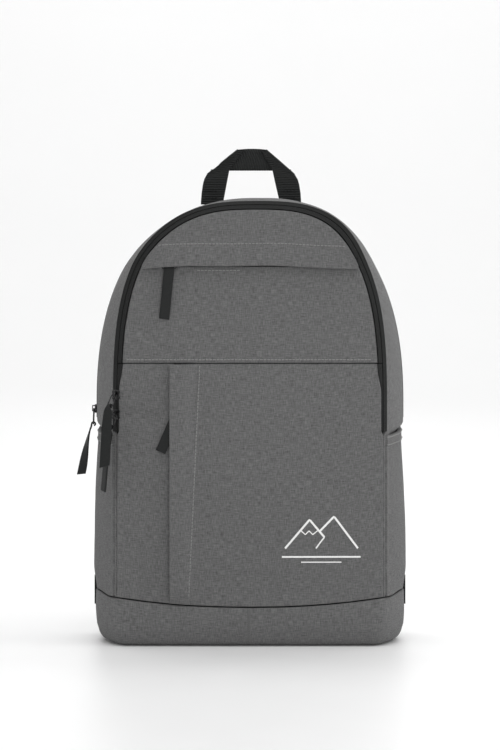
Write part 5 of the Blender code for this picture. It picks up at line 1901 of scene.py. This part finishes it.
def build_mark():
    """Plain printed mark on the lower front: two outlined peaks over a line."""
    lines = (
        (((0.0330, 0.0930), (0.0560, 0.1200), (0.0700, 0.1035)), 0.0019),
        (((0.0700, 0.1035), (0.0660, 0.0985), (0.0620, 0.0930)), 0.0013),
        (((0.0655, 0.1090), (0.0790, 0.1230), (0.1015, 0.0930)), 0.0019),
        (((0.0475, 0.1100), (0.0520, 0.1060), (0.0555, 0.1095), (0.0590, 0.1060), (0.0640, 0.1100)), 0.0010),
        (((0.0300, 0.0850), (0.1040, 0.0850)), 0.0016),
        (((0.0480, 0.0800), (0.0860, 0.0800)), 0.0010),
    )
    points, faces, uv = [], [], []
    for line, width in lines:
        dense = even_steps(list(line), 40)
        first = len(points)
        for i, (x, z) in enumerate(dense):
            ax, az = dense[max(i - 1, 0)]
            bx, bz = dense[min(i + 1, len(dense) - 1)]
            size = math.hypot(bx - ax, bz - az)
            nx, nz = -(bz - az) / size, (bx - ax) / size
            for share, level in ((-0.5, -0.0004), (0.5, -0.0004), (0.5, 0.00025), (-0.5, 0.00025)):
                px, pz = x + nx * width * share, z + nz * width * share
                p = Vector((px, front_y(px, pz), pz))
                points.append(p - Vector((0, lower_relief(p) + level, 0)))
                uv.append((px, pz))
        for i in range(len(dense) - 1):
            for k in range(4):
                a = first + i * 4 + k
                b = first + i * 4 + (k + 1) % 4
                faces.append((a, b, b + 4, a + 4))
        last = first + (len(dense) - 1) * 4
        faces.append((first + 3, first + 2, first + 1, first))
        faces.append((last, last + 1, last + 2, last + 3))
    piece = finished_object("printed_mark", points, faces, uv, cloth_finish(
        "white_print", colours().mark, sizes().thread_pitch, 0.0001, 0.08), 40)
    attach(piece, "shell")


def repaint_frame_parts():
    """Give the metal, plastic and foam parts of the frame their finishes."""
    finishes = {"slider_metal": slider_paint(), "buckle_plastic": buckle_plastic(),
                "base_foam": foam_finish("grey_base_foam", (0.05, 0.05, 0.052))}
    for name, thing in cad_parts.items():
        if thing.hide_render:
            continue
        kind = "slider_metal"
        if name.startswith("ladder_lock"):
            kind = "buckle_plastic"
        elif name == "base_board":
            kind = "base_foam"
        for holder in thing.material_slots:
            holder.material = finishes[kind]


def build_stitching():
    """Sew every noted row of stitches."""
    for body in sorted(STITCHES):
        joined_stitches(body, dark_thread() if body == "handle" else sewing_thread())


# ---------------------------------------------------------------- operators and panel


class DAYPACK_OT_stage(bpy.types.Operator):
    """Set up the camera, the pale sweep and the studio light"""

    bl_idname = "daypack.stage"
    bl_label = "Stage"

    def execute(self, context):
        build_stage()
        return {"FINISHED"}


class DAYPACK_OT_front_lower(bpy.types.Operator):
    """Sew the standing front with its pocket fold and pocket zip"""

    bl_idname = "daypack.front_lower"
    bl_label = "Standing Front"

    def execute(self, context):
        build_front_lower()
        return {"FINISHED"}


class DAYPACK_OT_front_upper(bpy.types.Operator):
    """Sew the fold-down front panel"""

    bl_idname = "daypack.front_upper"
    bl_label = "Fold-Down Front"

    def execute(self, context):
        build_front_upper()
        return {"FINISHED"}


class DAYPACK_OT_top_cap(bpy.types.Operator):
    """Sew the cap that covers the top pocket zip"""

    bl_idname = "daypack.top_cap"
    bl_label = "Top Pocket Cap"

    def execute(self, context):
        build_top_cap()
        return {"FINISHED"}


class DAYPACK_OT_front_zip(bpy.types.Operator):
    """Lay the main zip over the arch"""

    bl_idname = "daypack.front_zip"
    bl_label = "Main Zip"

    def execute(self, context):
        build_front_zip()
        return {"FINISHED"}


class DAYPACK_OT_gussets(bpy.types.Operator):
    """Sew both gussets with the rear zip between them"""

    bl_idname = "daypack.gussets"
    bl_label = "Gussets and Rear Zip"

    def execute(self, context):
        build_gussets()
        return {"FINISHED"}


class DAYPACK_OT_base(bpy.types.Operator):
    """Form the base tray"""

    bl_idname = "daypack.base"
    bl_label = "Base Tray"

    def execute(self, context):
        build_base()
        return {"FINISHED"}


class DAYPACK_OT_slip_pockets(bpy.types.Operator):
    """Sew the slip pockets and their elastic hems"""

    bl_idname = "daypack.slip_pockets"
    bl_label = "Slip Pockets"

    def execute(self, context):
        build_slip_pockets()
        return {"FINISHED"}


class DAYPACK_OT_back(bpy.types.Operator):
    """Sew the back wall, quilted pad and divider"""

    bl_idname = "daypack.back"
    bl_label = "Back and Divider"

    def execute(self, context):
        build_back()
        return {"FINISHED"}


class DAYPACK_OT_handle(bpy.types.Operator):
    """Fold the webbing grab handle"""

    bl_idname = "daypack.handle"
    bl_label = "Grab Handle"

    def execute(self, context):
        build_handle()
        return {"FINISHED"}


class DAYPACK_OT_pullers(bpy.types.Operator):
    """Fold a ribbon through each zip puller's loop"""

    bl_idname = "daypack.pullers"
    bl_label = "Zip Pullers"

    def execute(self, context):
        build_pullers()
        return {"FINISHED"}


class DAYPACK_OT_straps(bpy.types.Operator):
    """Pad the shoulder straps and thread their webbing"""

    bl_idname = "daypack.straps"
    bl_label = "Shoulder Straps"

    def execute(self, context):
        build_straps()
        return {"FINISHED"}


class DAYPACK_OT_mark(bpy.types.Operator):
    """Print the plain mark"""

    bl_idname = "daypack.mark"
    bl_label = "Printed Mark"

    def execute(self, context):
        build_mark()
        return {"FINISHED"}


class DAYPACK_OT_hardware(bpy.types.Operator):
    """Finish the sliders, loops, buckles and base board of the frame"""

    bl_idname = "daypack.hardware"
    bl_label = "Hardware"

    def execute(self, context):
        repaint_frame_parts()
        return {"FINISHED"}


class DAYPACK_OT_stitching(bpy.types.Operator):
    """Sew the visible rows of stitches"""

    bl_idname = "daypack.stitching"
    bl_label = "Stitching"

    def execute(self, context):
        build_stitching()
        return {"FINISHED"}


STEPS = (
    DAYPACK_OT_stage,
    DAYPACK_OT_front_lower,
    DAYPACK_OT_front_upper,
    DAYPACK_OT_top_cap,
    DAYPACK_OT_front_zip,
    DAYPACK_OT_gussets,
    DAYPACK_OT_base,
    DAYPACK_OT_slip_pockets,
    DAYPACK_OT_back,
    DAYPACK_OT_handle,
    DAYPACK_OT_pullers,
    DAYPACK_OT_straps,
    DAYPACK_OT_mark,
    DAYPACK_OT_hardware,
    DAYPACK_OT_stitching,
)


class DAYPACK_PT_sidebar(bpy.types.Panel):
    """Settings and steps of the daypack"""

    bl_label = "Daypack"
    bl_idname = "DAYPACK_PT_sidebar"
    bl_space_type = "VIEW_3D"
    bl_region_type = "UI"
    bl_category = "Daypack"

    def draw(self, context):
        for group in (context.scene.daypack_sizes, context.scene.daypack_colours):
            box = self.layout.box()
            for key in group.bl_rna.properties.keys():
                if key not in {"rna_type", "name"}:
                    box.prop(group, key)
        column = self.layout.column(align=True)
        for step in STEPS:
            column.operator(step.bl_idname)


CLASSES = (DaypackSizes, DaypackColours) + STEPS + (DAYPACK_PT_sidebar,)


def register():
    """Register the classes and their settings."""
    for item in CLASSES:
        bpy.utils.register_class(item)
    bpy.types.Scene.daypack_sizes = PointerProperty(type=DaypackSizes)
    bpy.types.Scene.daypack_colours = PointerProperty(type=DaypackColours)


def unregister():
    """Remove the classes and their settings."""
    del bpy.types.Scene.daypack_sizes
    del bpy.types.Scene.daypack_colours
    for item in reversed(CLASSES):
        bpy.utils.unregister_class(item)


def main():
    """Make the whole daypack."""
    register()
    for step in STEPS:
        group, name = step.bl_idname.split(".")
        if getattr(getattr(bpy.ops, group), name)() != {"FINISHED"}:
            raise RuntimeError(f"{step.bl_label} could not be finished")
    bpy.context.view_layer.update()


if __name__ == "__main__":
    main()
